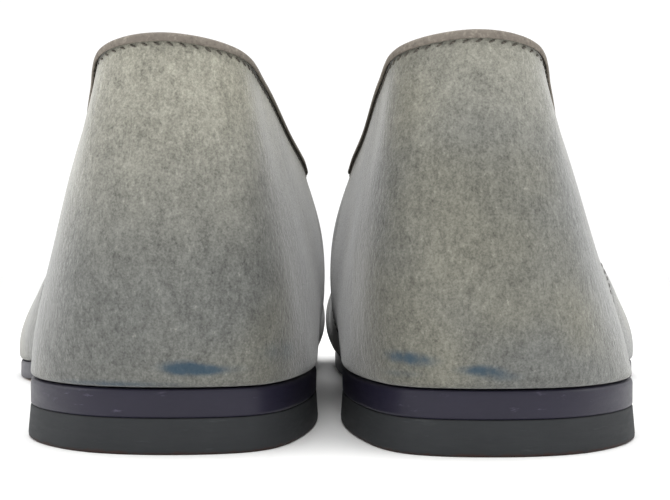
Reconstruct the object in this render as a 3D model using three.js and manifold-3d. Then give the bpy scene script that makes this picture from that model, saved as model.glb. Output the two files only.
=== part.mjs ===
// A pair of low-heeled suede loafers (moccasins), built up layer by layer on a last.
// Millimetres, +Z up. Heels point to -Y and toes to +Y. The pair stands on Z = 0,
// and X = 0 is the plane between the two shoes. Each shoe is drawn in its own frame:
// p runs outward from that plane, q runs forward from the back of the heel, and z is up.
import * as THREE from 'three';
import { mergeVertices } from 'three/addons/utils/BufferGeometryUtils.js';
import Module from 'manifold-3d';

const wasm = await Module();
wasm.setup();

// ---- driving dimensions -------------------------------------------------------------
const SHOE_LENGTH = 298;        // heel back to toe tip of the sole
const BALL_WIDTH = 105;         // widest part of the upper
const COLLAR_HEIGHT = 79.5;     // back of the collar above the floor
const OUTSOLE_THICKNESS = 5.3;  // leather outsole
const LIFT_HEIGHT = 6.8;        // rubber heel lift
const TOE_SPRING = 9;           // rise of the sole under the toe tip
const HEEL_LENGTH = 72;         // heel back to heel breast
const SUEDE = 1.5;              // quarter, vamp and plug
const LINING = 0.8;
const COUNTER = 1.2;            // heel stiffener
const PUFF = 1.0;               // toe stiffener
const STRAP = 1.6;              // saddle strap
const SEAM_ALLOWANCE = 0.9;     // folded edges behind the side seams
const INSOLE = 2.2;
const SOCK = 1.0;
const HEEL_PAD = 2.5;
const FILLER = 1.1;             // cork sheet inside the lasting margin
const SHANK_WIDTH = 12;
const SHANK_THICKNESS = 1.0;
const LASTING_MARGIN = 12;      // upper turned in under the insole
const BINDING_DEPTH = 2.2;      // how far the folded topline binding reaches down
const BINDING_WALL = 0.6;
const NAIL_DIAMETER = 2.2;
const NAIL_GRIP = 3.8;          // how far the nails reach into the outsole
const NAIL_COUNT = 5;
const CLEARANCE = 0.3;          // between neighbouring pieces
const GLUE_LINE = 0.6;          // between the curved layers of the upper
const UNDER_STRAP = 0.9;        // between the saddle strap and the upper
const RIGHT_SHOE_BACK = 3.5;    // the right shoe stands this much further back
const SOLE_INSET = 0.2;         // outsole edge inside the feather line
const LIFT_FLARE = 0.5;         // heel lift wider at the floor than under the outsole
const NAIL_INSET = 9;
const NAIL_RECESS = 0.6;        // nail heads above the floor
const NAIL_REACH = 2.2;         // stations from the heel back to the foremost nails
const STRAP_WIDTH = 22;         // across the middle of the instep
const STRAP_SETBACK = 5;        // middle of the strap's rear edge, in front of the throat
const STRAP_BOW = 11;           // and how much further back that edge is at its ends
const STRAP_SPREAD = 5;         // the ends are this much wider than the middle
const SOCK_RAMP = 25;           // length over which the sock comes down off the heel pad
const CORNER_RISE = 0.05;       // share of the seam's height of the row above the feather line

// ---- the last -----------------------------------------------------------------------
// Stations go round the last from the heel back to the toe tip, stated for the model
// size below and graded to the size above. A rib rises from each one as a Bezier curve.
// foot [p, q]: on the feather line. top [p, q, z]: on the topline, or [p, q] on the ridge.
// belly [out, up] and crown [out, down, forward]: the rib's two handles.
// lean: how far the belly, crown and top of a worn collar have moved inward.
const MODEL_SIZE = { length: 298, width: 105, height: 79.5 };
const HEEL_BACK = { foot: [32, 3.2], top: [31.7, 5, 79.5], belly: [5.5, 22], crown: [2.2, 24], lean: [2, 4, 5] };
const TOE_TIP = { foot: [49.5, 295], top: [49, 252], belly: [5, 14], crown: [29, 0] };
const MEDIAL = [
  { foot: [13.6, 7.6], top: [18.8, 12, 78], belly: [3.4, 20], crown: [3, 22], lean: [2, 4, 5] },
  { foot: [5.7, 27], top: [14.6, 31, 74.8], belly: [1.8, 18], crown: [4.5, 22], lean: [1.5, 3, 3.6] },
  { foot: [2.9, 58], top: [10.5, 60, 68.2], belly: [1.6, 16], crown: [5.5, 18], lean: [0, 1, 1.4] },
  { foot: [7, 92], top: [7.1, 92, 64.2], belly: [11.6, 14], crown: [4.4, 16] },
  { foot: [9, 125], top: [8.6, 120, 65], belly: [13.8, 14], crown: [6, 14] },
  { foot: [7, 150], top: [19.5, 139, 74.5], belly: [12.5, 18], crown: [12, 8, 12] },
  { foot: [4.8, 172], top: [38.5, 150], belly: [12.4, 20], crown: [23, 2, 20] },
  { foot: [3.6, 195], top: [42, 182], belly: [11.3, 20], crown: [27.5, 0] },
  { foot: [4.2, 220], top: [45, 212], belly: [12.2, 18], crown: [29.5, 0] },
  { foot: [10, 249], top: [47.5, 237], belly: [8, 16], crown: [28, 0] },
  { foot: [24, 279], top: [49, 252], belly: [5, 15], crown: [26, 0] },
];
const LATERAL = [
  { foot: [49.5, 9], top: [43.8, 11.5, 78.4], belly: [3.2, 20], crown: [3.2, 22], lean: [2.5, 4.5, 5] },
  { foot: [62.2, 27], top: [49.4, 30, 74.2], belly: [-1.4, 18], crown: [5.4, 20], lean: [3, 4.5, 4.6] },
  { foot: [65.6, 57], top: [56, 58, 68], belly: [-1, 16], crown: [5.6, 18], lean: [2.5, 4, 4] },
  { foot: [69, 90], top: [59.5, 90, 64], belly: [3, 14], crown: [7, 16], lean: [1.5, 2.5, 2.5] },
  { foot: [81, 122], top: [58.5, 120, 65], belly: [4.5, 15], crown: [12, 13], lean: [0.5, 1, 1] },
  { foot: [95, 147], top: [55, 139, 73.5], belly: [4.5, 17], crown: [18, 8, 12] },
  { foot: [102.6, 169], top: [38.5, 150], belly: [5, 17], crown: [31, 2, 22] },
  { foot: [104, 193], top: [42, 182], belly: [5, 17], crown: [38, 0] },
  { foot: [100, 220], top: [45, 212], belly: [4.5, 16], crown: [36, 0] },
  { foot: [90, 249], top: [47.5, 237], belly: [4.5, 15], crown: [31, 0] },
  { foot: [74.5, 279], top: [49, 252], belly: [4.5, 15], crown: [27, 0] },
];
const RIDGE = { instep: 80, throat: 146, toeBox: 41, end: 265, toeDrop: 0.0055 };
const WAIST_END = 165;          // the sole reaches the floor here
const TREAD_END = 208;          // and leaves it here
const THROAT = 7;               // station where topline and ridge meet
const TOE = 12;                 // station of the toe tip
const SEAM_FOOT = 5.2;          // side seam between quarter and vamp, at the feather line
const SEAM_TOP = 6.4;           // and where it meets the plug
const PLUG_EDGE = 0.66;         // height of the moccasin seam along a rib
const TOE_PLUG_DROP = 0.2;      // and how much lower it runs at the toe
const PLUG_DROP_START = 9.5;    // station from which it comes down
const SEAM_BLEND = 2.2;         // stations over which the vamp's columns follow its side seam
const STRAP_END = 0.6;          // height of the strap's ends along a rib
const COUNTER_END = 3.3;        // station where the heel counter ends
const COUNTER_TOP = 0.62;       // its height along the rib at the heel back
const COUNTER_DROP = 0.14;      // and how much lower it is at its ends
const PUFF_START = 9.8;         // station where the toe puff starts
const PUFF_TOP = 0.36;          // height of the toe puff along a rib
const PAST_EDGE = { stations: 0.04, up: 0.08 };   // the lining stays under a stiffener this far past it
const STEP_DOWN = { stations: 0.5, up: 0.15 };    // and comes back to the suede over this distance
const SHANK_BACK = [33, 38];    // [p, q] at model size
const SHANK_FRONT = [45, 138];
const STATION_PITCH = 25;       // about this far from station to station
const RIB_LENGTH = 90;          // and from the feather line to the ridge
const LEAST_SLANT = 0.4;        // sine of the flattest angle at which a rib meets the topline

const grade = {
  p: BALL_WIDTH / MODEL_SIZE.width,
  q: SHOE_LENGTH / MODEL_SIZE.length,
  z: COLLAR_HEIGHT / MODEL_SIZE.height,
};

const mix = (a, b, t) => a + (b - a) * t;
const clamp = (x, low = 0, high = 1) => Math.min(high, Math.max(low, x));
const ease = (t) => clamp(t) ** 2 * (3 - 2 * clamp(t));
const addScaled = (a, b, s) => a.map((v, i) => v + b[i] * s);
const unit = (a) => a.map((v) => v / Math.hypot(...a));
const cross = (a, b) => [a[1] * b[2] - a[2] * b[1], a[2] * b[0] - a[0] * b[2], a[0] * b[1] - a[1] * b[0]];
const through = (a, b, c, d, t) => b.map((v, i) => 0.5 * (2 * v + (c[i] - a[i]) * t
  + (2 * a[i] - 5 * v + 4 * c[i] - d[i]) * t * t + (3 * v - a[i] - 3 * c[i] + d[i]) * t ** 3));

// The underside of the outsole: level under the heel, down through the waist, flat
// under the ball and up again to the toe.
function soleBottom(q) {
  const breast = HEEL_LENGTH + 3;
  const waistEnd = WAIST_END * grade.q;
  const treadEnd = TREAD_END * grade.q;
  if (q < treadEnd) return LIFT_HEIGHT * (1 - ease((q - breast) / (waistEnd - breast)));
  return TOE_SPRING * ((q - treadEnd) / (SHOE_LENGTH - treadEnd)) ** 2;
}
const soleTop = (q) => soleBottom(q) + OUTSOLE_THICKNESS;
const featherLevel = (q) => soleTop(q) + CLEARANCE;

// Height of the top line of the forepart, in model-size millimetres.
function ridgeLevel(q) {
  const u = (RIDGE.end - q) / (RIDGE.end - RIDGE.throat);
  if (u > 0) return RIDGE.toeBox + (RIDGE.instep - RIDGE.toeBox) * u * u;
  return RIDGE.toeBox - RIDGE.toeDrop * (q - RIDGE.end) ** 2;
}
const ridgeSlope = (q) => ridgeLevel(q + 0.5) - ridgeLevel(q - 0.5);

// The four Bezier points of every station's rib, once round the last.
function makeRibs(leaning) {
  const loop = [HEEL_BACK, ...LATERAL, TOE_TIP, ...MEDIAL.toReversed()];
  return loop.map((station, i) => {
    const before = loop.at(i - 1).foot;
    const after = loop[(i + 1) % loop.length].foot;
    const out = i === 0 ? [0, -1] : unit([after[1] - before[1], before[0] - after[0]]);
    const lean = (station.lean ?? [0, 0, 0]).map((v) => v * leaning);
    const [p, q] = station.foot;
    const [topP, topQ] = station.top;
    const onRidge = station.top.length === 2;
    const topZ = onRidge ? ridgeLevel(topQ) : station.top[2];
    const [bellyOut, bellyUp] = station.belly;
    const [crownOut, crownDown, forward = 0] = station.crown;
    const slope = onRidge ? ridgeSlope(topQ) : 0;
    const footZ = featherLevel(q * grade.q);
    const size = (v, z) => [v[0] * grade.p, v[1] * grade.q, z];
    return [
      size([p, q], footZ),
      size([p + out[0] * bellyOut - lean[0], q + out[1] * bellyOut], footZ + bellyUp * grade.z),
      size([topP + out[0] * crownOut - lean[1], topQ + out[1] * crownOut + forward],
        (topZ - crownDown + slope * (out[1] * crownOut + forward)) * grade.z),
      size([topP - lean[2], topQ], topZ * grade.z),
    ];
  });
}

// A last: points and normals on its surface. `around` counts stations from the heel
// back, positive on the lateral side and negative on the medial side. `up` runs from 0
// at the feather line to 1 at the topline or ridge.
function makeLast(leaning) {
  const ribs = makeRibs(leaning);
  const count = ribs.length;
  const at = (i) => ribs[(i + 2 * count) % count];
  const reflect = (a, b) => addScaled(a.map((v) => 2 * v), b, -1);

  function rib(around) {
    const i = Math.floor(around);
    const t = around - i;
    const near = [at(i - 1), at(i), at(i + 1), at(i + 2)];
    const points = [0, 1, 2, 3].map((row) => {
      let [a, b, c, d] = near.map((r) => r[row]);
      if (row === 3) {
        // The topline closes squarely across the throat, and the ridge starts there.
        if (i === THROAT - 1) d = at(-THROAT + 1)[3];
        if (i === -THROAT) a = at(THROAT - 1)[3];
        if (i === THROAT) a = reflect(b, c);
        if (i === -THROAT - 1) d = reflect(c, b);
      }
      return through(a, b, c, d, t);
    });
    points[0][2] = featherLevel(points[0][1]);
    return points;
  }
  function point(around, up) {
    const [a, b, c, d] = rib(around);
    const down = 1 - up;
    const weights = [down ** 3, 3 * down * down * up, 3 * down * up * up, up ** 3];
    return [0, 1, 2].map((k) => a[k] * weights[0] + b[k] * weights[1] + c[k] * weights[2] + d[k] * weights[3]);
  }
  function normal(around, up) {
    if (up > 0.999 && Math.abs(around) >= THROAT) {
      return unit([0, -ridgeSlope(rib(around)[3][1] / grade.q) * grade.z / grade.q, 1]);
    }
    const level = clamp(up, 0.002, 0.985);
    const along = addScaled(point(around + 0.01, level), point(around - 0.01, level), -1);
    const rise = addScaled(point(around, level + 0.002), point(around, level - 0.002), -1);
    return unit(cross(along, rise));
  }
  // The share of a rib at which it is `height` above the floor.
  function upAt(around, height) {
    let low = 0;
    let high = 0.6;
    for (let step = 0; step < 24; step += 1) {
      const middle = (low + high) / 2;
      if (point(around, middle)[2] < height) low = middle;
      else high = middle;
    }
    return low;
  }
  const top = (around) => rib(around)[3];
  const toplineAlong = (around) => {
    const here = clamp(around, -THROAT + 0.01, THROAT - 0.01);
    return unit(addScaled(top(here + 0.01), top(here - 0.01), -1));
  };
  // How much of a rib lies within `depth` of the topline.
  function edgeShare(around, depth) {
    if (Math.abs(around) > THROAT) return 0;
    const [, , crown, end] = rib(around);
    const reach = addScaled(end, crown, -1);
    const length = Math.hypot(...reach);
    const across = Math.hypot(...cross(reach, toplineAlong(around))) / length;
    return depth / (3 * length * Math.max(across, LEAST_SLANT));
  }
  return { point, normal, upAt, top, toplineAlong, edgeShare, rib };
}

// ---- solids -------------------------------------------------------------------------
// Turns triangles of [x, y, z] points into a mesh, with shared points merged.
function toMesh(name, material, points, triangles) {
  const geometry = new THREE.BufferGeometry();
  geometry.setAttribute('position', new THREE.Float32BufferAttribute(points.flat(), 3));
  geometry.setIndex(triangles.flat());
  geometry.computeVertexNormals();
  const mesh = new THREE.Mesh(geometry, material);
  mesh.name = name;
  return mesh;
}

// A sheet is a grid of [outer, inner, key] points. Equal keys are one point. The result
// is closed round every free edge. `skip` leaves out cells of the grid.
function closedSheet(grid, skip = () => false) {
  const found = new Map();
  const outer = [];
  const inner = [];
  const index = grid.map((row) => row.map(([out, inn, key]) => {
    if (!found.has(key)) {
      found.set(key, outer.length);
      outer.push(out);
      inner.push(inn);
    }
    return found.get(key);
  }));
  const faces = [];
  for (let r = 0; r + 1 < index.length; r += 1) {
    for (let c = 0; c + 1 < index[r].length; c += 1) {
      const [a, b, d, e] = [index[r][c], index[r][c + 1], index[r + 1][c], index[r + 1][c + 1]];
      if (skip(r, c)) continue;
      if (a !== b && b !== e && a !== e) faces.push([a, b, e]);
      if (a !== e && e !== d && a !== d) faces.push([a, e, d]);
    }
  }
  const open = new Map();
  for (const face of faces) {
    for (let k = 0; k < 3; k += 1) {
      const [a, b] = [face[k], face[(k + 1) % 3]];
      if (open.has(`${b},${a}`)) open.delete(`${b},${a}`);
      else open.set(`${a},${b}`, [a, b]);
    }
  }
  const n = outer.length;
  const walls = [...open.values()].flatMap(([a, b]) => [[a, a + n, b + n], [a, b + n, b]]);
  const backs = faces.map(([a, b, c]) => [a + n, c + n, b + n]);
  return { points: [...outer, ...inner], triangles: [...faces, ...backs, ...walls] };
}

// A closed ring swept through sections of equal length.
function ring(sections) {
  const size = sections[0].length;
  const triangles = [];
  sections.forEach((_, i) => {
    const next = (i + 1) % sections.length;
    for (let k = 0; k < size; k += 1) {
      const [a, b] = [i * size + k, i * size + (k + 1) % size];
      const [c, d] = [next * size + k, next * size + (k + 1) % size];
      triangles.push([a, b, d], [a, d, c]);
    }
  });
  return { points: sections.flat(), triangles };
}

const signedVolume = ({ points, triangles }) => triangles.reduce((sum, [a, b, c]) => {
  const [u, v, w] = [points[a], points[b], points[c]];
  return sum + (u[0] * (v[1] * w[2] - v[2] * w[1]) + u[1] * (v[2] * w[0] - v[0] * w[2])
    + u[2] * (v[0] * w[1] - v[1] * w[0])) / 6;
}, 0);

function toManifold({ points, triangles }) {
  return new wasm.Manifold(new wasm.Mesh({
    numProp: 3,
    vertProperties: new Float32Array(points.flat()),
    triVerts: new Uint32Array(triangles.flat()),
  }));
}
function fromManifold(solid) {
  const { vertProperties, triVerts } = solid.getMesh();
  const points = [];
  for (let i = 0; i < vertProperties.length; i += 3) points.push(Array.from(vertProperties.slice(i, i + 3)));
  const triangles = [];
  for (let i = 0; i < triVerts.length; i += 3) triangles.push(Array.from(triVerts.slice(i, i + 3)));
  return { points, triangles };
}

// ---- one shoe -----------------------------------------------------------------------
const LOOKS = {
  suede: { color: 0x8c8b85, roughness: 0.95 },
  strapSuede: { color: 0x7f7e79, roughness: 0.95 },
  binding: { color: 0x9b948c, roughness: 0.8 },
  lining: { color: 0xb9a489, roughness: 0.75 },
  fibreboard: { color: 0xa58a66, roughness: 0.9 },
  insole: { color: 0xb89468, roughness: 0.85 },
  sock: { color: 0x9c8469, roughness: 0.7 },
  foam: { color: 0xd8d2c4, roughness: 1 },
  steel: { color: 0x9a9da1, roughness: 0.35, metalness: 1 },
  cork: { color: 0xa47b4f, roughness: 0.95 },
  navyLeather: { color: 0x2c2b3c, roughness: 0.35 },
  rubber: { color: 0x3f4143, roughness: 0.6 },
};

const spread = (from, to, count) => Array.from({ length: count + 1 }, (_, i) => mix(from, to, i / count));

// side is 1 for the right shoe and -1 for the left.
function makeShoe(side) {
  const prefix = side > 0 ? 'right' : 'left';
  const last = makeLast(side > 0 ? 1 : 0);
  const setBack = SHOE_LENGTH / 2 + (side > 0 ? RIGHT_SHOE_BACK : 0);
  const group = new THREE.Group();
  const place = ([p, q, z]) => [side * p, q - setBack, z];

  function add(name, look, solid) {
    const points = solid.points.map(place);
    const out = signedVolume({ points, triangles: solid.triangles }) > 0;
    const triangles = out ? solid.triangles : solid.triangles.map(([a, b, c]) => [a, c, b]);
    const material = new THREE.MeshStandardMaterial({ metalness: 0, ...LOOKS[look] });
    group.add(toMesh(`${prefix}_${name}`, material, points, triangles));
  }

  // ---- layers of the upper: rows of [around, up] at depths below the last's surface
  const keyOf = (around, up, base) => {
    if (up > 0.999 && Math.abs(around) >= THROAT) return `${base[0].toFixed(2)},${base[1].toFixed(2)}`;
    const station = Math.abs(around) > TOE - 1e-6 ? TOE : around;
    return `${station.toFixed(4)},${up.toFixed(4)}`;
  };
  const sink = (base, n, depth) => addScaled(base, n, -depth);
  const layerRow = (row, outer, inner) => row.map(([around, up]) => {
    const base = last.point(around, up);
    const n = last.normal(around, up);
    return [sink(base, n, outer(around, up)), sink(base, n, inner(around, up)), keyOf(around, up, base)];
  });
  const layer = (rows, outer, inner, skip) => closedSheet(rows.map((row) => layerRow(row, outer, inner)), skip);

  // A layer that is turned in under the insole. Its first row lies on the feather line,
  // where the wall and the lasting margin meet in a mitred corner.
  function lastedLayer(rows, thickness) {
    const margin = [1, 0.5].map((share) => rows[0].map(([around]) => {
      const [x, y] = last.normal(around, 0);
      const [inX, inY] = unit([-x, -y]);
      const base = last.point(around, 0);
      const [p, q] = [base[0] + inX * LASTING_MARGIN * share, base[1] + inY * LASTING_MARGIN * share];
      const under = featherLevel(q);
      return [[p, q, under], [p, q, under + thickness], `${share} ${around.toFixed(4)}`];
    }));
    const corner = rows[0].map(([around]) => {
      const base = last.point(around, 0);
      const both = addScaled(last.normal(around, 0), [0, 0, -1], 1);
      const reach = 2 * thickness / Math.hypot(...both);
      return [base, sink(base, unit(both), reach), keyOf(around, 0, base)];
    });
    const wall = rows.slice(1).map((row) => layerRow(row, () => 0, () => thickness));
    return closedSheet([...margin, corner, ...wall]);
  }

  const seamAt = (up) => mix(SEAM_FOOT, SEAM_TOP, ease(up / PLUG_EDGE));
  const seamGap = CLEARANCE / 2 / STATION_PITCH;
  const plugGap = CLEARANCE / 2 / RIB_LENGTH;
  const upTop = (around) => 1 - last.edgeShare(around, BINDING_WALL + CLEARANCE);
  const crossTop = (around) => (Math.abs(around) < THROAT ? upTop(around) : 1);
  const plugEdge = (around) => PLUG_EDGE - TOE_PLUG_DROP * ease((Math.abs(around) - PLUG_DROP_START) / (TOE - PLUG_DROP_START));
  const wrapped = (around) => (around > TOE ? around - 2 * TOE : around);

  // Quarter, vamp and linings share the levels of their rows, so that they stay nested.
  const seamLevels = [0, CORNER_RISE, 0.12, 0.26, 0.46, 0.7, 1];
  const quarterLevels = [...seamLevels.map((share) => share * PLUG_EDGE), ...spread(PLUG_EDGE, 1, 3).slice(1)];
  const quarterUp = (around, level) => (level > PLUG_EDGE
    ? mix(PLUG_EDGE, upTop(around), (level - PLUG_EDGE) / (1 - PLUG_EDGE)) : level);
  const bothSides = (steps) => [...steps.slice(1).map((step) => -step).reverse(), ...steps];
  const heelSides = [1.05, 1.4, 1.7, 2, 2.4, 2.85, COUNTER_END, 4, 4.6, 5.1, 5.5, 5.85, 6.15, SEAM_TOP];
  const heelwise = bothSides([0, 0.4, 0.75, ...heelSides]);
  add('quarter', 'suede', lastedLayer(quarterLevels.map((level) => heelwise.map((column) => {
    const around = column * (seamAt(level) - seamGap) / SEAM_TOP;
    return [around, quarterUp(around, level)];
  })), SUEDE));

  // From the lateral side seam round the toe to the medial one.
  const forepartSteps = [SEAM_TOP, 6.7, 6.92, 7.08, 7.4, 7.7, 8, 8.35, 8.7, 9.1, 9.5, 10, 10.5, 10.9, 11.3, 11.65, TOE];
  add('vamp', 'suede', lastedLayer(seamLevels.map((share) => (
    [...forepartSteps, ...forepartSteps.slice(0, -1).map((step) => 2 * TOE - step).reverse()].map((raw) => {
      const up = share * (plugEdge(wrapped(raw)) - plugGap);
      const fromSeam = Math.min(raw, 2 * TOE - raw) - SEAM_TOP;
      const shift = (SEAM_TOP - seamAt(up)) * (1 - ease(fromSeam / SEAM_BLEND)) - seamGap * (1 - ease(fromSeam));
      return [wrapped(raw < TOE ? raw - shift : raw + shift), up];
    })
  )), SUEDE));

  // Across the forepart, up the medial ribs and down the lateral ones. Before the throat
  // the two sides are wings beside the opening, so the middle cells are left out.
  const plugCells = 3;
  const liningCells = plugCells + seamLevels.length - 3;
  const wings = forepartSteps.filter((around) => around < THROAT).length;
  const acrossRows = (lowUp) => forepartSteps.map((step) => [-1, 1].flatMap((sign) => {
    const around = sign * Math.max(step, SEAM_TOP + seamGap);
    const seam = plugEdge(around) + plugGap;
    const below = [lowUp(around), ...seamLevels.slice(3, -1).map((share) => share * seam)];
    const above = spread(seam, crossTop(around), plugCells);
    const ups = (lowUp(around) < seam ? [...below, ...above] : above).map((up) => [around, up]);
    return sign < 0 ? ups : ups.reverse();
  }));
  const overOpening = (line) => (row, column) => column === line && row < wings - 1;

  add('plug', 'suede', layer(acrossRows((around) => plugEdge(around) + plugGap),
    () => 0, () => SUEDE, overOpening(plugCells)));

  // Saddle strap: lies over the plug and the side seams, in front of the throat. Its edges
  // are arcs in plan, found along each rib height by halving.
  const throat = last.top(THROAT);
  const strapReach = last.point(THROAT, STRAP_END)[0] - throat[0];
  function strapAt(up, sign, share) {
    let [low, high] = [THROAT - 2, THROAT + 2];
    for (let step = 0; step < 20; step += 1) {
      const middle = (low + high) / 2;
      const [p, q] = last.point(sign * middle, up);
      const bow = Math.min(1, ((p - throat[0]) / strapReach) ** 2);
      const edge = throat[1] + STRAP_SETBACK - STRAP_BOW * bow + (STRAP_WIDTH + STRAP_SPREAD * bow) * share;
      if (q < edge) low = middle;
      else high = middle;
    }
    return low;
  }
  const strapUps = [...spread(STRAP_END, 1, 9), ...spread(1, STRAP_END, 9).slice(1)];
  add('saddle_strap', 'strapSuede', layer(spread(0, 1, 4).map((share) => strapUps.map((up, i) => {
    const sign = i < strapUps.length / 2 - 0.5 || up === 1 ? -1 : 1;
    return [sign * strapAt(up, sign, share), up];
  })), () => -UNDER_STRAP - STRAP, () => -UNDER_STRAP));

  // Linings follow the stiffeners that lie between them and the suede.
  const insoleTop = (q) => featherLevel(q) + SUEDE + CLEARANCE + INSOLE;
  const underSuede = SUEDE + GLUE_LINE;
  const liningStack = underSuede + COUNTER + GLUE_LINE + LINING;
  // Where the wall leans in, a layer's inner face hangs lower than its outer one.
  const aboveInsole = (around) => {
    const hang = Math.max(0, last.normal(around, 0.1)[2]) * liningStack;
    return last.upAt(around, insoleTop(last.rib(around)[0][1]) + CLEARANCE + hang);
  };
  const counterTop = (around) => COUNTER_TOP - COUNTER_DROP * (around / COUNTER_END) ** 2;
  const overCounter = (around, up) => (
    (1 - ease((Math.abs(around) - COUNTER_END - PAST_EDGE.stations) / STEP_DOWN.stations))
    * (1 - ease((up - counterTop(clamp(around, -COUNTER_END, COUNTER_END)) - PAST_EDGE.up) / STEP_DOWN.up)));
  const overPuff = (around, up) => (
    ease((Math.abs(around) - PUFF_START + STEP_DOWN.stations + 0.1) / STEP_DOWN.stations)
    * (1 - ease((up - PUFF_TOP - 0.01) / 0.1)));
  const overSeam = (around, up) => (1 - ease((Math.abs(Math.abs(around) - SEAM_TOP) - 0.3) / 0.6))
    * ease((up - 0.1) / 0.2) * (1 - ease((up - PLUG_EDGE) / STEP_DOWN.up));
  const liningDepth = (around, up) => underSuede + SEAM_ALLOWANCE * overSeam(around, up)
    + (COUNTER + GLUE_LINE) * overCounter(around, up) + (PUFF + GLUE_LINE) * overPuff(around, up);
  const liningBack = (around, up) => liningDepth(around, up) + LINING;

  add('heel_counter', 'fibreboard', layer(spread(0, 1, 5).map((share) => (
    heelwise.filter((around) => Math.abs(around) <= COUNTER_END).map((around) => (
      [around, mix(aboveInsole(around), counterTop(around), share)]))
  )), () => underSuede, () => underSuede + COUNTER));
  add('toe_puff', 'fibreboard', layer(spread(0, 1, 3).map((share) => (
    spread(PUFF_START, 2 * TOE - PUFF_START, 12).map((raw) => {
      const around = wrapped(raw);
      return [around, mix(aboveInsole(around), PUFF_TOP, share)];
    })
  )), () => underSuede, () => underSuede + PUFF));
  add('quarter_lining', 'lining', layer(quarterLevels.toSpliced(1, 2).map((level) => heelwise.map((column) => {
    const around = column * (1 - seamGap / SEAM_TOP);
    return [around, level === 0 ? aboveInsole(around) : quarterUp(around, level)];
  })), liningDepth, liningBack));
  add('vamp_lining', 'lining', layer(acrossRows(aboveInsole), liningDepth, liningBack, overOpening(liningCells)));

  // Folded binding over the raw topline edges of suede and lining.
  const outside = -CLEARANCE;
  const inside = underSuede + LINING + GLUE_LINE;
  const wall = BINDING_WALL;
  const fold = [
    [outside - wall / 2, 0], [inside + wall / 2, 0],
    [inside + wall, BINDING_DEPTH], [inside, BINDING_DEPTH], [inside, wall], [outside, wall],
    [outside, BINDING_DEPTH], [outside - wall, BINDING_DEPTH],
  ];
  const rimSteps = bothSides([0, 0.4, 0.75, 0.9, ...heelSides, 6.6, 6.75, 6.9, THROAT]);
  add('topline_binding', 'binding', ring(rimSteps.slice(1).map((around) => {
    const n = last.normal(around, Math.abs(around) === THROAT ? 1 : 0.985);
    const [, , crown, end] = last.rib(around);
    const square = unit(cross(n, last.toplineAlong(around)));
    const towardsRib = addScaled(crown, end, -1);
    const sign = Math.sign(square.reduce((sum, v, i) => sum + v * towardsRib[i], 0));
    return fold.map(([depth, down]) => addScaled(sink(end, n, depth), square, sign * down));
  })));

  // ---- plates: the bottom, laid between the two sides of the feather line
  const heelSteps = [0.35, 0.6, 0.82, 1.05, 1.4, 1.9, 2.6, 3.3];
  const toeSteps = [9.8, 10.3, 10.7, 11.05, 11.35, 11.6, 11.82];
  const soleSteps = [...heelSteps, 4, 4.7, 5.4, 6.1, 6.8, 7.4, 8, 8.6, 9.2, ...toeSteps];
  // `levels` are the heights above the feather line at which the wall limits a plate.
  function plate({ inset, steps = soleSteps, lower, upper, flare = 0, levels = [0] }) {
    const edge = (around, by) => {
      const [foot] = last.rib(around);
      const [x, y] = last.normal(around, 0);
      const [outX, outY] = unit([x, y]);
      const walls = levels.map((level) => last.point(around, last.upAt(around, foot[2] + level)));
      const reach = Math.min(...walls.map(([p, q]) => (p - foot[0]) * outX + (q - foot[1]) * outY)) - by;
      return [foot[0] + outX * reach, foot[1] + outY * reach];
    };
    return closedSheet(steps.map((station) => [-1, 0, 1].map((bank) => {
      const at = (by) => {
        if (bank !== 0) return edge(bank * station, by);
        if (station === heelSteps[0]) return edge(0, by);
        if (station === toeSteps.at(-1)) return edge(TOE, by);
        return [0, 1].map((k) => (edge(-station, by)[k] + edge(station, by)[k]) / 2);
      };
      const [low, high] = [at(inset - flare), at(inset)];
      return [[...low, lower(low[1])], [...high, upper(high[1])], `${station},${bank}`];
    })));
  }
  const raised = (level, by) => (q) => level(q) + by;
  // The station, behind the waist, at which the feather line is `q` from the heel back.
  function stationAt(q) {
    let [low, high] = [2, 5];
    for (let step = 0; step < 20; step += 1) {
      const middle = (low + high) / 2;
      if (last.rib(middle)[0][1] < q) low = middle;
      else high = middle;
    }
    return low;
  }

  const nailSpots = spread(-1, 1, NAIL_COUNT - 1).map((share) => {
    const [p, q] = last.point(share * NAIL_REACH, 0);
    const [x, y] = last.normal(share * NAIL_REACH, 0);
    return [p - x * NAIL_INSET, q - y * NAIL_INSET];
  });
  const rod = ([p, q], radius, bottom, top) => {
    const geometry = new THREE.CylinderGeometry(radius, radius, top - bottom, 8).rotateX(Math.PI / 2);
    geometry.translate(p, q, (top + bottom) / 2);
    geometry.deleteAttribute('normal');
    geometry.deleteAttribute('uv');
    const merged = mergeVertices(geometry, 1e-4);
    const { array } = merged.attributes.position;
    const points = spread(0, merged.attributes.position.count - 1, merged.attributes.position.count - 1)
      .map((i) => Array.from(array.slice(3 * Math.round(i), 3 * Math.round(i) + 3)));
    const { array: indices } = merged.index;
    const triangles = [];
    for (let i = 0; i < indices.length; i += 3) triangles.push(Array.from(indices.slice(i, i + 3)));
    return { points, triangles };
  };
  function drilled(solid, bottom, top) {
    let result = toManifold(solid);
    if (result.volume() < 0) result = toManifold({ ...solid, triangles: solid.triangles.map(([a, b, c]) => [a, c, b]) });
    for (const spot of nailSpots) {
      result = result.subtract(toManifold(rod(spot, NAIL_DIAMETER / 2 + CLEARANCE, bottom, top)));
    }
    return fromManifold(result);
  }

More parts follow.
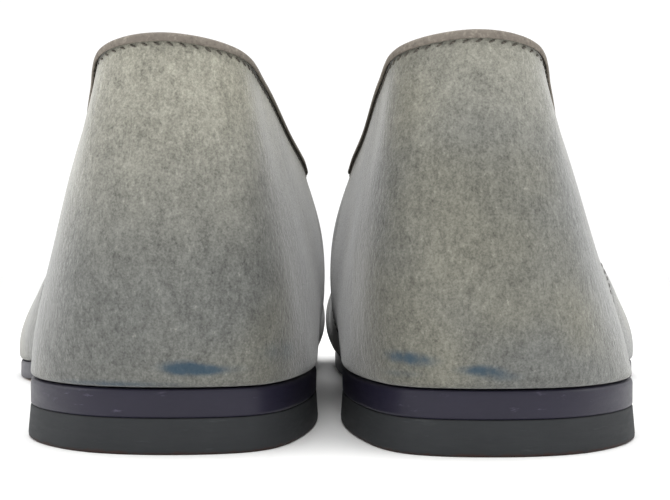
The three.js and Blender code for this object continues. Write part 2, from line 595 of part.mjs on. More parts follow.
  const nailTop = LIFT_HEIGHT + NAIL_GRIP;
  const outsole = plate({ inset: SOLE_INSET, lower: soleBottom, upper: soleTop });
  add('outsole', 'navyLeather', drilled(outsole, -1, nailTop + CLEARANCE));
  const breast = stationAt(HEEL_LENGTH);
  const lift = plate({
    inset: SOLE_INSET, steps: [...heelSteps, breast], flare: LIFT_FLARE, lower: () => 0, upper: () => LIFT_HEIGHT - CLEARANCE,
  });
  add('heel_lift', 'rubber', drilled(lift, -1, LIFT_HEIGHT + 1));
  nailSpots.forEach((spot, i) => {
    add(`heel_nail_${i + 1}`, 'steel', rod(spot, NAIL_DIAMETER / 2, NAIL_RECESS, nailTop));
  });

  add('filler', 'cork', plate({
    inset: LASTING_MARGIN + 2, steps: [6.1, 6.8, 7.4, 8, 8.6, 9.2, ...toeSteps],
    lower: raised(soleTop, CLEARANCE), upper: raised(soleTop, CLEARANCE + FILLER),
  }));
  const shankLine = (share) => [
    mix(SHANK_BACK[0], SHANK_FRONT[0], share) * grade.p,
    mix(SHANK_BACK[1], SHANK_FRONT[1], share) * grade.q,
  ];
  add('shank', 'steel', closedSheet(spread(0, 1, 12).map((share) => [-0.5, 0.5].map((offset) => {
    const [p, q] = shankLine(share);
    const x = p + offset * SHANK_WIDTH;
    const z = soleTop(q) + CLEARANCE;
    return [[x, q, z], [x, q, z + SHANK_THICKNESS], `${share},${offset}`];
  }))));
  const insoleUnder = raised(featherLevel, SUEDE + CLEARANCE);
  add('insole_board', 'insole', plate({
    inset: SUEDE + 2 * GLUE_LINE, lower: insoleUnder, upper: raised(insoleUnder, INSOLE),
    levels: [SUEDE + CLEARANCE, SUEDE + CLEARANCE + INSOLE],
  }));
  const onInsole = raised(insoleTop, CLEARANCE);
  const sockInset = liningStack + 2 * GLUE_LINE;
  const padFloor = SUEDE + INSOLE + 3 * CLEARANCE;
  add('heel_pad', 'foam', plate({
    inset: sockInset, steps: heelSteps, lower: onInsole, upper: raised(onInsole, HEEL_PAD),
    levels: [padFloor, padFloor + HEEL_PAD],
  }));
  const padFront = Math.max(last.rib(heelSteps.at(-1))[0][1], last.rib(-heelSteps.at(-1))[0][1]);
  const sockUnder = (q) => onInsole(q) + (HEEL_PAD + CLEARANCE) * (1 - ease((q - padFront) / SOCK_RAMP));
  add('sock_liner', 'sock', plate({
    inset: sockInset, lower: sockUnder, upper: raised(sockUnder, SOCK),
    levels: [padFloor, padFloor + HEEL_PAD + CLEARANCE + SOCK],
  }));
  return group;
}

const pair = new THREE.Group();
pair.add(makeShoe(-1), makeShoe(1));
pair.position.y = -new THREE.Box3().setFromObject(pair).getCenter(new THREE.Vector3()).y;
export default pair;
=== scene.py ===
# A pair of grey suede loafers, made in the order in which a shoemaker makes them: insole,
# linings, upper, strap and binding, then sole and heel. Metres, +Z up, heels towards -Y.
# Shoes are drawn in millimetres: p outwards from between them, q forward from the heel, z up.
import math

import bmesh
import bpy
import numpy as np
from mathutils import Matrix, Vector


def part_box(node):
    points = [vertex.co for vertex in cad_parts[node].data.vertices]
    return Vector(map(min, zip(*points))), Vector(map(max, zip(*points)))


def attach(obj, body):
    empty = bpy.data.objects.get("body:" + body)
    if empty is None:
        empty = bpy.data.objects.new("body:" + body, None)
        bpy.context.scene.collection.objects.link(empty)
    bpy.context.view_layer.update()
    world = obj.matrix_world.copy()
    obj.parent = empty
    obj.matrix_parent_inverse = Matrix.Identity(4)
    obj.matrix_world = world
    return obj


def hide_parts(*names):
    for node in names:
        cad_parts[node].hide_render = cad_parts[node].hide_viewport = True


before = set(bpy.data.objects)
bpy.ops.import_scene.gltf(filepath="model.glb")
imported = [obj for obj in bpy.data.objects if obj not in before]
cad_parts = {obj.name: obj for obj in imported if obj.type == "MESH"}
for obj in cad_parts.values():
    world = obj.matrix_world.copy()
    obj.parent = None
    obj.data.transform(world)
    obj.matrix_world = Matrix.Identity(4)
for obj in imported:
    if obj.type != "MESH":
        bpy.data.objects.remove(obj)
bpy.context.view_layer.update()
MM = 0.001


# ---- Studio ---------------------------------------------------------------------------
# A camera standing low behind the heels, a floor of plain white paper, a white surround,
# and wide soft lights overhead and on both sides.
scene = bpy.context.scene
scene.view_settings.view_transform = "Standard"

CAMERA_PLACE = (-0.0025, -0.3465, 0.0334)
CAMERA_LENS = 58.5
CAMERA_UP = 1.32
CAMERA_RIGHT = 0.86
camera = bpy.data.objects.new("camera", bpy.data.cameras.new("camera"))
camera.data.lens = CAMERA_LENS
camera.data.clip_start = 0.01
camera.location = CAMERA_PLACE
camera.rotation_euler = (math.radians(90 + CAMERA_UP), 0, math.radians(-CAMERA_RIGHT))
scene.collection.objects.link(camera)
scene.camera = camera

FLOOR_SPAN = 60.0
floor_mesh = bmesh.new()
bmesh.ops.create_grid(floor_mesh, x_segments=1, y_segments=1, size=FLOOR_SPAN / 2)
floor = bpy.data.objects.new("floor", bpy.data.meshes.new("floor"))
floor_mesh.to_mesh(floor.data)
floor_mesh.free()
scene.collection.objects.link(floor)
paper = bpy.data.materials.new("white_paper")
paper.use_nodes = True
paper_inputs = paper.node_tree.nodes["Principled BSDF"].inputs
paper_inputs["Base Color"].default_value = (0.93, 0.93, 0.925, 1)
paper_inputs["Roughness"].default_value = 0.7
paper_inputs["Specular IOR Level"].default_value = 0.2
floor.data.materials.append(paper)

scene.world = bpy.data.worlds.new("studio")
scene.world.use_nodes = True
scene.world.node_tree.nodes["Background"].inputs["Color"].default_value = (1, 1, 1, 1)
scene.world.node_tree.nodes["Background"].inputs["Strength"].default_value = 1.08

LIGHTS = {  # place, size, power
    "overhead": ((0, -0.1, 1.1), 1.0, 8),
    "left_side": ((-1.2, -0.1, 0.7), 0.8, 3),
    "right_side": ((1.2, -0.1, 0.7), 0.8, 2.5),
}
for name, (place, size, power) in LIGHTS.items():
    light = bpy.data.objects.new(name, bpy.data.lights.new(name, "AREA"))
    light.data.shape = "DISK"
    light.data.size = size
    light.data.energy = power
    light.location = place
    light.rotation_euler = (-Vector(place)).to_track_quat("-Z", "Y").to_euler()
    scene.collection.objects.link(light)


# ---- The last -------------------------------------------------------------------------
# The form that each shoe is pulled over. Stations go round it from the heel back to the
# toe tip. From each one a rib rises as a Bezier curve, from the feather line, where the
# upper meets the sole, to the topline or to the ridge of the forepart.
OUTSOLE_THICKNESS = 5.3
LIFT_HEIGHT = 6.8
TOE_SPRING = 9
HEEL_LENGTH = 72
WAIST_END, TREAD_END = 165, 208     # where the sole comes to the floor and leaves it
SHOE_LENGTH = 298
CLEARANCE = 0.3
SOLE_INSET = 0.2
# Each station: foot, top, belly (out, up), crown (out, down, forward), and how far a
# worn collar leans inward at its belly, crown and top.
HEEL_BACK = ((32, 3.2), (31.7, 5, 79.5), (5.5, 22), (2.2, 24, 0), (2, 4, 5))
TOE_TIP = ((49.5, 295), (49, 252), (5, 14), (29, 0, 0), (0, 0, 0))
MEDIAL = (
    ((13.6, 7.6), (18.8, 12, 78), (3.4, 20), (3, 22, 0), (2, 4, 5)),
    ((5.7, 27), (14.6, 31, 74.8), (1.8, 18), (4.5, 22, 0), (1.5, 3, 3.6)),
    ((2.9, 58), (10.5, 60, 68.2), (1.6, 16), (5.5, 18, 0), (0, 1, 1.4)),
    ((7, 92), (7.1, 92, 64.2), (11.6, 14), (4.4, 16, 0), (0, 0, 0)),
    ((9, 125), (8.6, 120, 65), (13.8, 14), (6, 14, 0), (0, 0, 0)),
    ((7, 150), (19.5, 139, 74.5), (12.5, 18), (12, 8, 12), (0, 0, 0)),
    ((4.8, 172), (38.5, 150), (12.4, 20), (23, 2, 20), (0, 0, 0)),
    ((3.6, 195), (42, 182), (11.3, 20), (27.5, 0, 0), (0, 0, 0)),
    ((4.2, 220), (45, 212), (12.2, 18), (29.5, 0, 0), (0, 0, 0)),
    ((10, 249), (47.5, 237), (8, 16), (28, 0, 0), (0, 0, 0)),
    ((24, 279), (49, 252), (5, 15), (26, 0, 0), (0, 0, 0)),
)
LATERAL = (
    ((49.5, 9), (43.8, 11.5, 78.4), (3.2, 20), (3.2, 22, 0), (2.5, 4.5, 5)),
    ((62.2, 27), (49.4, 30, 74.2), (-1.4, 18), (5.4, 20, 0), (3, 4.5, 4.6)),
    ((65.6, 57), (56, 58, 68), (-1, 16), (5.6, 18, 0), (2.5, 4, 4)),
    ((69, 90), (59.5, 90, 64), (3, 14), (7, 16, 0), (1.5, 2.5, 2.5)),
    ((81, 122), (58.5, 120, 65), (4.5, 15), (12, 13, 0), (0.5, 1, 1)),
    ((95, 147), (55, 139, 73.5), (4.5, 17), (18, 8, 12), (0, 0, 0)),
    ((102.6, 169), (38.5, 150), (5, 17), (31, 2, 22), (0, 0, 0)),
    ((104, 193), (42, 182), (5, 17), (38, 0, 0), (0, 0, 0)),
    ((100, 220), (45, 212), (4.5, 16), (36, 0, 0), (0, 0, 0)),
    ((90, 249), (47.5, 237), (4.5, 15), (31, 0, 0), (0, 0, 0)),
    ((74.5, 279), (49, 252), (4.5, 15), (27, 0, 0), (0, 0, 0)),
)
STATIONS = (HEEL_BACK, *LATERAL, TOE_TIP, *reversed(MEDIAL))
THROAT, TOE = 7, 12                 # stations of the throat and of the toe tip
INSTEP_HEIGHT, TOE_BOX_HEIGHT = 80, 41
RIDGE_START, RIDGE_END = 146, 265
TOE_DROP = 0.0055
LEAST_SLANT = 0.4


def ease(t):
    t = np.clip(t, 0, 1)
    return t * t * (3 - 2 * t)


def between(low, high, share):
    return low + (high - low) * share


def unit(vectors):
    return vectors / np.linalg.norm(vectors, axis=-1, keepdims=True)


def through(a, b, c, d, t):
    """A Catmull-Rom curve that passes through b, where t is 0, and c, where t is 1."""
    bend, twist = 2 * a - 5 * b + 4 * c - d, 3 * b - a - 3 * c + d
    return 0.5 * (2 * b + (c - a) * t + bend * t**2 + twist * t**3)


def sole_bottom(q):
    breast = HEEL_LENGTH + 3
    heel_and_waist = LIFT_HEIGHT * (1 - ease((q - breast) / (WAIST_END - breast)))
    toe = TOE_SPRING * ((q - TREAD_END) / (SHOE_LENGTH - TREAD_END)) ** 2
    return np.where(q < TREAD_END, heel_and_waist, toe)


def sole_top(q):
    return sole_bottom(q) + OUTSOLE_THICKNESS


def feather_level(q):
    return sole_top(q) + CLEARANCE


def ridge_level(q):
    u = (RIDGE_END - q) / (RIDGE_END - RIDGE_START)
    rise = TOE_BOX_HEIGHT + (INSTEP_HEIGHT - TOE_BOX_HEIGHT) * u * u
    return np.where(u > 0, rise, TOE_BOX_HEIGHT - TOE_DROP * (q - RIDGE_END) ** 2)


def ridge_slope(q):
    return ridge_level(q + 0.5) - ridge_level(q - 0.5)


class Last:
    """`around` counts stations from the heel back, positive on the outer side of the foot.
    `up` runs from 0 at the feather line to 1 at the topline or ridge. Both may be arrays."""

    def __init__(self, leaning):
        self.ribs = np.array([self.rib_of(i, leaning) for i in range(len(STATIONS))])

    def rib_of(self, i, leaning):
        foot, top, belly, crown, lean = STATIONS[i]
        before, after = STATIONS[i - 1][0], STATIONS[(i + 1) % len(STATIONS)][0]
        out = unit(np.array([after[1] - before[1], before[0] - after[0]], float))
        if i == 0:
            out = np.array([0, -1.0])
        on_ridge = len(top) == 2
        top_z = ridge_level(top[1]) if on_ridge else top[2]
        slope = ridge_slope(top[1]) if on_ridge else 0
        foot_z = feather_level(foot[1])
        lean = np.array(lean) * leaning
        return [
            [foot[0], foot[1], foot_z],
            [foot[0] + out[0] * belly[0] - lean[0], foot[1] + out[1] * belly[0], foot_z + belly[1]],
            [top[0] + out[0] * crown[0] - lean[1], top[1] + out[1] * crown[0] + crown[2],
             top_z - crown[1] + slope * (out[1] * crown[0] + crown[2])],
            [top[0] - lean[2], top[1], top_z],
        ]

    def rib(self, around):
        """The Bezier points of each rib: foot, belly, crown and top."""
        around = np.asarray(around, float)
        i = np.floor(around).astype(int)
        a, b, c, d = (self.ribs[(i + step) % len(self.ribs)].copy() for step in (-1, 0, 1, 2))
        # The topline closes squarely across the throat, and the ridge starts there.
        d[i == THROAT - 1, 3] = self.ribs[1 - THROAT, 3]
        a[i == -THROAT, 3] = self.ribs[THROAT - 1, 3]
        a[i == THROAT, 3] = (2 * b - c)[i == THROAT, 3]
        d[i == -THROAT - 1, 3] = (2 * c - b)[i == -THROAT - 1, 3]
        # The last ribs on each side of the toe tip all end at one point of the ridge.
        a[i == TOE - 1, 3] = b[i == TOE - 1, 3]
        d[i == -TOE, 3] = c[i == -TOE, 3]
        points = through(a, b, c, d, (around - i)[..., None, None])
        points[..., 0, 2] = feather_level(points[..., 0, 1])
        return points

    def point(self, around, up):
        around, up = np.broadcast_arrays(np.asarray(around, float), np.asarray(up, float))
        down = 1 - up
        weights = np.stack([down**3, 3 * down**2 * up, 3 * down * up**2, up**3], -1)
        return (self.rib(around) * weights[..., None]).sum(-2)

    def normal(self, around, up):
        around, up = np.broadcast_arrays(np.asarray(around, float), np.asarray(up, float))
        level = np.clip(up, 0.002, 0.985)
        along = self.point(around + 0.01, level) - self.point(around - 0.01, level)
        rise = self.point(around, level + 0.002) - self.point(around, level - 0.002)
        slope = ridge_slope(self.top(around)[..., 1])
        on_ridge = unit(np.stack([np.zeros_like(slope), -slope, np.ones_like(slope)], -1))
        crest = (up > 0.999) & (np.abs(around) >= THROAT)
        return np.where(crest[..., None], on_ridge, unit(np.cross(along, rise)))

    def up_at(self, around, height):
        """Where ribs climb through a height above the floor, by halving."""
        low, high = np.zeros_like(height), np.full_like(height, 0.6)
        for _ in range(24):
            middle = (low + high) / 2
            below = self.point(around, middle)[..., 2] < height
            low, high = np.where(below, middle, low), np.where(below, high, middle)
        return low

    def top(self, around):
        return self.rib(around)[..., 3, :]

    def topline_along(self, around):
        here = np.clip(around, 0.01 - THROAT, THROAT - 0.01)
        return unit(self.top(here + 0.01) - self.top(here - 0.01))

    def edge_share(self, around, depth):
        """How much of a rib lies within `depth` of the topline."""
        ends = self.rib(around)
        reach = ends[..., 3, :] - ends[..., 2, :]
        length = np.linalg.norm(reach, axis=-1)
        across = np.linalg.norm(np.cross(reach, self.topline_along(around)), axis=-1) / length
        share = depth / (3 * length * np.maximum(across, LEAST_SLANT))
        return np.where(np.abs(around) > THROAT, 0, share)


class Shoe:
    """One shoe of the pair. Its heel back is found from its packed outsole."""

    def __init__(self, name, side, leaning):
        self.name, self.side, self.body = name, side, f"{name}_shoe"
        self.last = Last(leaning)
        self.heel_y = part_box(f"{name}_outsole")[0].y / MM - HEEL_BACK[0][1] - SOLE_INSET

    def place(self, points):
        return (points * (self.side, 1, 1) + (0, self.heel_y, 0)) * MM

    def turn(self, vectors):
        return vectors * (self.side, 1, 1)


pair = (Shoe("left", -1, 0), Shoe("right", 1, 1))


# ---- Insole board, shank and filler ---------------------------------------------------
# The insole board is a flat vegetable-tanned board tacked to the last. A steel shank
# stiffens its waist, and a thin sheet of pressed cork levels the forepart beneath it.
SUEDE = 1.5
GLUE_LINE = 0.6
INSOLE = 2.2
FILLER = 1.1
LASTING_MARGIN = 12


class Wire:
    """A value worked out in a material. Arithmetic on it adds Math nodes."""

    def __init__(self, finish, socket):
        self.finish, self.socket = finish, socket

    def sum_of(self, operation, *values):
        return self.finish.node("ShaderNodeMath", {"operation": operation}, dict(enumerate(values)))

    def __add__(self, other):
        return self.sum_of("ADD", self, other)

    def __sub__(self, other):
        return self.sum_of("SUBTRACT", self, other)

    def __rsub__(self, other):
        return self.sum_of("SUBTRACT", other, self)

    def __mul__(self, other):
        return self.sum_of("MULTIPLY", self, other)

    def __truediv__(self, other):
        return self.sum_of("DIVIDE", self, other)

    __radd__ = __add__
    __rmul__ = __mul__


class Finish:
    """A material under construction. Noise scales are in features to the metre."""

    def __init__(self, name):
        self.material = bpy.data.materials.new(name)
        self.material.use_nodes = True
        self.tree = self.material.node_tree
        self.tree.nodes.clear()
        self.place = self.node("ShaderNodeTexCoord", output="Object")

    def node(self, kind, settings=None, inputs=None, output=0):
        node = self.tree.nodes.new(kind)
        for setting, value in (settings or {}).items():
            setattr(node, setting, value)
        for name, value in (inputs or {}).items():
            if isinstance(value, Wire):
                self.tree.links.new(value.socket, node.inputs[name])
            else:
                node.inputs[name].default_value = value
        return Wire(self, node.outputs[output])

    def noise(self, scale, detail=3, roughness=0.55, stretch=None):
        place = self.place
        if stretch:
            place = self.vector("MULTIPLY", place, stretch)
        settings = {"Vector": place, "Scale": scale, "Detail": detail, "Roughness": roughness}
        return self.node("ShaderNodeTexNoise", None, settings)

    def vector(self, operation, *values, output=0):
        settings = {"operation": operation}
        return self.node("ShaderNodeVectorMath", settings, dict(enumerate(values)), output)

    def span(self, value, low, high):
        """0 where value is low and 1 where it is high, easing between."""
        return self.node("ShaderNodeMapRange", {"interpolation_type": "SMOOTHSTEP"},
                         {"Value": value, "From Min": low, "From Max": high})

    def blend(self, factor, first, second, how="MIX"):
        return self.node("ShaderNodeMix", {"data_type": "RGBA", "blend_type": how},
                         {0: factor, 6: first, 7: second}, output=2)

    def tinge(self, colour, value, low, high, strength, tone):
        """Takes a colour towards `tone` as value runs from low to high."""
        return self.blend(self.span(value, low, high) * strength, colour, tone)

    def axis(self, name):
        return self.node("ShaderNodeSeparateXYZ", None, {0: self.place}, output=name)

    def patch(self, centre, radii):
        """1 at centre, falling to 0 on an ellipsoid of those radii, in millimetres."""
        offset = self.vector("SUBTRACT", self.place, [value * MM for value in centre])
        scaled = self.vector("DIVIDE", offset, [value * MM for value in radii])
        return self.span(self.vector("LENGTH", scaled, output="Value"), 1, 0)

    def done(self, colour, roughness, relief=None, depth=0.3, **constants):
        """`relief` is a height in 0 to 1, and `depth` how many millimetres it stands for."""
        inputs = {"Base Color": colour, "Roughness": roughness}
        if relief:
            bump = {"Height": relief, "Distance": depth * MM, "Strength": 1.0}
            inputs["Normal"] = self.node("ShaderNodeBump", None, bump)
        inputs.update({name.replace("_", " "): value for name, value in constants.items()})
        shader = self.node("ShaderNodeBsdfPrincipled", None, inputs)
        surface = self.tree.nodes.new("ShaderNodeOutputMaterial").inputs["Surface"]
        self.tree.links.new(shader.socket, surface)
        return self.material


def shade(red, green, blue):
    """A colour in 0 to 255, as paint charts give it, as the linear colour of a material."""
    values = [channel / 255 for channel in (red, green, blue)]
    return (*((v / 12.92 if v < 0.04045 else ((v + 0.055) / 1.055) ** 2.4) for v in values), 1)


def weld(name, points, shoe, facing=None, skip=None, materials=()):
    """A piece from a grid of points in millimetres, welded where they meet. `facing` holds
    the way its front looks. Without it the piece is closed, and is turned to face outwards."""
    rows, columns = points.shape[:2]
    bm = bmesh.new()
    bm.loops.layers.uv.new("UVMap")
    bmesh.ops.create_grid(bm, x_segments=columns - 1, y_segments=rows - 1, size=1, calc_uvs=True)
    bm.verts.ensure_lookup_table()
    for vertex, place in zip(bm.verts, shoe.place(points).reshape(-1, 3)):
        vertex.co = place
    if facing is not None:
        bm.normal_update()
        looks = np.array([vertex.normal for vertex in bm.verts])
        if (looks * shoe.turn(facing).reshape(-1, 3)).sum() < 0:
            bmesh.ops.reverse_faces(bm, faces=bm.faces)
    if skip is not None:
        bm.faces.ensure_lookup_table()
        left_out = [face for face, gone in zip(bm.faces, skip.reshape(-1)) if gone]
        bmesh.ops.delete(bm, geom=left_out, context="FACES")
    bmesh.ops.remove_doubles(bm, verts=bm.verts, dist=1e-6)
    if facing is None:
        bmesh.ops.holes_fill(bm, edges=[edge for edge in bm.edges if edge.is_boundary], sides=0)
        bmesh.ops.recalc_face_normals(bm, faces=bm.faces)
    return finished(name, bm, shoe, materials)


def finished(name, bm, shoe, materials):
    for face in bm.faces:
        face.smooth = True
    name = f"{shoe.name}_{name}"
    piece = bpy.data.objects.new(name, bpy.data.meshes.new(name))
    bm.to_mesh(piece.data)
    bm.free()
    for material in materials:
        piece.data.materials.append(material)
    scene.collection.objects.link(piece)
    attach(piece, shoe.body)
    return piece


def plate(shoe, name, materials, inset, lower, upper, ends=(0, TOE), flare=0, levels=(0,),
          profile=((-0.3, 0), (0, 0.2), (0, 0.8), (-0.3, 1)), lines=160, across=9):
    """A bottom piece between the two sides of the feather line. `levels` are heights above
    it at which the wall limits the piece, `profile` is its edge: (out, share of height)."""
    last = shoe.last
    start, end = ends
    share = np.linspace(0, 1, lines)
    if end == TOE:
        share = (1 - np.cos(np.pi * share)) / 2 if start == 0 else 1 - (1 - share) ** 1.8
    else:
        share = share**1.8
    stations = between(start, end, share)

    def edge(around):
        foot = last.rib(around)[..., 0, :]
        out = unit(last.normal(around, 0)[..., :2])
        walls = [last.point(around, last.up_at(around, foot[..., 2] + level)) for level in levels]
        reach = np.min([((wall - foot)[..., :2] * out).sum(-1) for wall in walls], axis=0)
        return foot[..., :2] + out * (reach - inset)[..., None], out

    medial, medial_out = edge(-stations)
    lateral, lateral_out = edge(stations)
    sweep = np.linspace(0, 1, across)[None, :, None]

    def surface(share_out, height_share, step):
        grow = share_out + flare * (1 - height_share)
        from_edge = medial + medial_out * grow
        to_edge = lateral + lateral_out * grow
        flat = from_edge[:, None] + (to_edge - from_edge)[:, None] * sweep[:, ::step]
        z = between(lower(flat[..., 1]), upper(flat[..., 1]), height_share)
        return np.concatenate([flat, z[..., None]], -1)

    sides = [surface(out, share, 1) for out, share in profile]
    section = np.concatenate(
        [sides[0]] + [side[:, -1:] for side in sides[1:-1]] + [sides[-1][:, ::-1]]
        + [side[:, :1] for side in sides[-2:0:-1]] + [sides[0][:, :1]], axis=1)
    return weld(name, section, shoe, materials=materials)


def raised(level, by):
    return lambda q: level(q) + by


def board_finish():
    """Tan leatherboard: pressed fibres, a few darker shreds."""
    board = Finish("leatherboard")
    fibres = board.noise(900, 4, 0.7, stretch=(1, 0.25, 1))
    shreds = board.span(board.noise(260, 5, 0.8), 0.52, 0.7)
    colour = board.blend(fibres, shade(176, 141, 100), shade(205, 174, 134))
    colour = board.blend(shreds * 0.5, colour, shade(140, 104, 70))
    return board.done(colour, 0.75 + 0.2 * fibres, fibres, 0.15)


def cork_finish():
    """Pressed cork: granules with dark joints between them."""
    cork = Finish("pressed_cork")
    joints = cork.node("ShaderNodeTexVoronoi", {"feature": "DISTANCE_TO_EDGE"},
                       {"Vector": cork.place, "Scale": 420.0})
    granule = cork.noise(150, 3)
    colour = cork.blend(granule, shade(150, 108, 66), shade(196, 154, 106))
    colour = cork.blend(cork.span(joints, 0.0, 0.12), shade(96, 64, 38), colour)
    return cork.done(colour, 0.95 - 0.1 * granule, joints, 0.3)


def steel_finish():
    """Plain rolled steel with fine lengthwise scratches and a little rust."""
    steel = Finish("plain_steel")
    scratches = steel.noise(2200, 2, 0.6, stretch=(1, 0.06, 1))
    rust = steel.span(steel.noise(130, 4, 0.7), 0.6, 0.75)
    colour = steel.blend(scratches, shade(138, 140, 144), shade(178, 180, 184))
    colour = steel.blend(rust * 0.6, colour, shade(120, 82, 58))
    return steel.done(colour, 0.28 + 0.3 * scratches + 0.3 * rust, scratches, 0.03, Metallic=1.0)


insole_top = raised(feather_level, SUEDE + CLEARANCE + INSOLE)
leatherboard, cork_sheet, plain_steel = board_finish(), cork_finish(), steel_finish()
for shoe in pair:
    under = raised(feather_level, SUEDE + CLEARANCE)
    insole = plate(shoe, "insole", [leatherboard], SUEDE + 2 * GLUE_LINE, under, insole_top,
                   levels=(SUEDE + CLEARANCE, SUEDE + CLEARANCE + INSOLE))
    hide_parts(f"{shoe.name}_insole_board")
    cork = plate(shoe, "cork_filler", [cork_sheet], LASTING_MARGIN + 2,
                 raised(sole_top, CLEARANCE), raised(sole_top, CLEARANCE + FILLER), ends=(6.1, TOE))
    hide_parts(f"{shoe.name}_filler")
    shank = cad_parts[f"{shoe.name}_shank"]
    shank.data.materials.clear()
    shank.data.materials.append(plain_steel)


# ---- Linings and stiffeners -----------------------------------------------------------
# Smooth pigskin lines the quarter and the vamp. Between it and the suede, a moulded heel
# counter of leatherboard holds the back upright, and a thinner toe puff keeps the toe round.
LINING = 0.8
COUNTER = 1.2
PUFF = 1.0
SEAM_ALLOWANCE = 0.9
BINDING_WALL = 0.6
SEAM_FOOT, SEAM_TOP = 5.2, 6.4      # side seam, at the feather line and at the plug
PLUG_EDGE = 0.66                    # height of the moccasin seam along a rib
TOE_PLUG_DROP = 0.2
COUNTER_END, PUFF_START, PUFF_TOP = 3.3, 9.8, 0.36
COUNTER_TOP, COUNTER_DROP = 0.62, 0.14
STATION_PITCH, RIB_LENGTH = 25, 90
UNDER_SUEDE = SUEDE + GLUE_LINE
LINING_STACK = UNDER_SUEDE + COUNTER + GLUE_LINE + LINING
SEAM_GAP = CLEARANCE / 2 / STATION_PITCH
PLUG_GAP = CLEARANCE / 2 / RIB_LENGTH


def thicken(piece, thickness, edge_round=0.25):
    """Gives a skin its thickness, inwards from its front, and softens its cut edges."""
    wall = piece.modifiers.new("thickness", "SOLIDIFY")
    wall.thickness = thickness * MM
    wall.offset = -1
    if edge_round:
        soft = piece.modifiers.new("soft_edge", "BEVEL")
        soft.width = edge_round * MM
        soft.segments = 2
        soft.limit_method = "ANGLE"
        soft.angle_limit = math.radians(50)
    return piece


def layer(shoe, name, around, up, depth, thickness, materials, skip=None, edge_round=0.25):
    """A layer of the upper whose front lies `depth` under the surface of the last."""
    normal = shoe.last.normal(around, up)
    points = shoe.last.point(around, up) - normal * np.broadcast_to(depth, around.shape)[..., None]
    return thicken(weld(name, points, shoe, normal, skip, materials), thickness, edge_round)


def seam_at(up):
    return between(SEAM_FOOT, SEAM_TOP, ease(up / PLUG_EDGE))


def plug_edge(around):
    return PLUG_EDGE - TOE_PLUG_DROP * ease((np.abs(around) - 9.5) / 2.5)


def up_top(last, around):
    return 1 - last.edge_share(around, BINDING_WALL + CLEARANCE)


def above_insole(last, around):
    hang = np.maximum(0, last.normal(around, 0.1)[..., 2]) * LINING_STACK
    return last.up_at(around, insole_top(last.rib(around)[..., 0, 1]) + CLEARANCE + hang)


def panel(shoe, name, around, top, depth, thickness, material):
    """A layer from the insole up to `top` at each station, `depth` under the last."""
    levels = np.linspace(0, 1, 61)[:, None]
    up = between(above_insole(shoe.last, around), top, levels)
    around = around + 0 * levels
    if callable(depth):
        depth = depth(around, up)
    return layer(shoe, name, around, up, depth, thickness, [material])


def counter_top(around):
    return COUNTER_TOP - COUNTER_DROP * (around / COUNTER_END) ** 2


def lining_depth(around, up):
    """How far under the suede the lining lies: deeper over stiffeners and the side seam."""
    over_counter = (1 - ease((np.abs(around) - COUNTER_END - 0.04) / 0.5)) * (
        1 - ease((up - counter_top(np.clip(around, -COUNTER_END, COUNTER_END)) - 0.08) / 0.15))
    over_puff = ease((np.abs(around) - PUFF_START + 0.6) / 0.5)
    over_puff = over_puff * (1 - ease((up - PUFF_TOP - 0.01) / 0.1))
    over_seam = 1 - ease((np.abs(np.abs(around) - SEAM_TOP) - 0.3) / 0.6)
    over_seam = over_seam * ease((up - 0.1) / 0.2) * (1 - ease((up - PLUG_EDGE) / 0.15))
    return (UNDER_SUEDE + SEAM_ALLOWANCE * over_seam + (COUNTER + GLUE_LINE) * over_counter
            + (PUFF + GLUE_LINE) * over_puff)


def wrapped(around):
    return np.where(around > TOE, around - 2 * TOE, around)


def forepart(last, rows, columns, low, start):
    """Across the forepart, up the inner side and down the outer one, for each station from
    `start` to the toe. Before the throat the cells across the opening are left out."""
    steps = between(start, TOE, np.linspace(0, 1, rows))[:, None]
    share = np.linspace(0, 1, columns)[None, :]
    inner = between(low(-steps), np.where(steps < THROAT, up_top(last, -steps), 1), share)
    outer = between(low(steps), np.where(steps < THROAT, up_top(last, steps), 1), share)[:, ::-1]
    around = np.concatenate([-steps + 0 * share, steps + 0 * share], axis=1)
    up = np.concatenate([inner, outer], axis=1)
    skip = np.zeros((rows - 1, 2 * columns - 1), bool)
    skip[:, columns - 1] = (steps[:-1, 0] < THROAT)
    return around, up, skip


def lining_finish():
    """Smooth tan pigskin: fine pores, and a polish that varies softly over it."""
    hide = Finish("pigskin_lining")
    tone = hide.noise(35, 4, 0.6)
    pores = hide.node("ShaderNodeTexVoronoi", None, {"Vector": hide.place, "Scale": 1500.0})
    grain = hide.noise(1100, 3, 0.6)
    colour = hide.blend(tone, shade(171, 152, 128), shade(194, 178, 154))
    colour = hide.tinge(colour, pores, 0.22, 0.1, 0.35, shade(128, 108, 86))
    relief = 0.6 * grain + 0.4 * hide.span(pores, 0.0, 0.3)
    return hide.done(colour, 0.5 + 0.25 * tone, relief, 0.12)


pigskin = lining_finish()
for shoe in pair:
    columns = np.linspace(-1, 1, 151)[None, :]
    around = columns * COUNTER_END
    counter = panel(shoe, "counter", around, counter_top(around), UNDER_SUEDE, COUNTER, leatherboard)
    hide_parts(f"{shoe.name}_heel_counter")

    around = wrapped(between(PUFF_START, 2 * TOE - PUFF_START, (columns + 1) / 2))
    puff = panel(shoe, "toe_stiffener", around, PUFF_TOP, UNDER_SUEDE, PUFF, leatherboard)
    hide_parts(f"{shoe.name}_toe_puff")

    around = columns * (SEAM_TOP - SEAM_GAP)
    lining = panel(shoe, "back_lining", around, up_top(shoe.last, around), lining_depth, LINING, pigskin)
    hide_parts(f"{shoe.name}_quarter_lining")

    around, up, skip = forepart(shoe.last, 121, 61, lambda steps: above_insole(shoe.last, steps),
                                SEAM_TOP + SEAM_GAP)
    lining = layer(shoe, "front_lining", around, up, lining_depth(around, up), LINING, [pigskin], skip)
    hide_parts(f"{shoe.name}_vamp_lining")


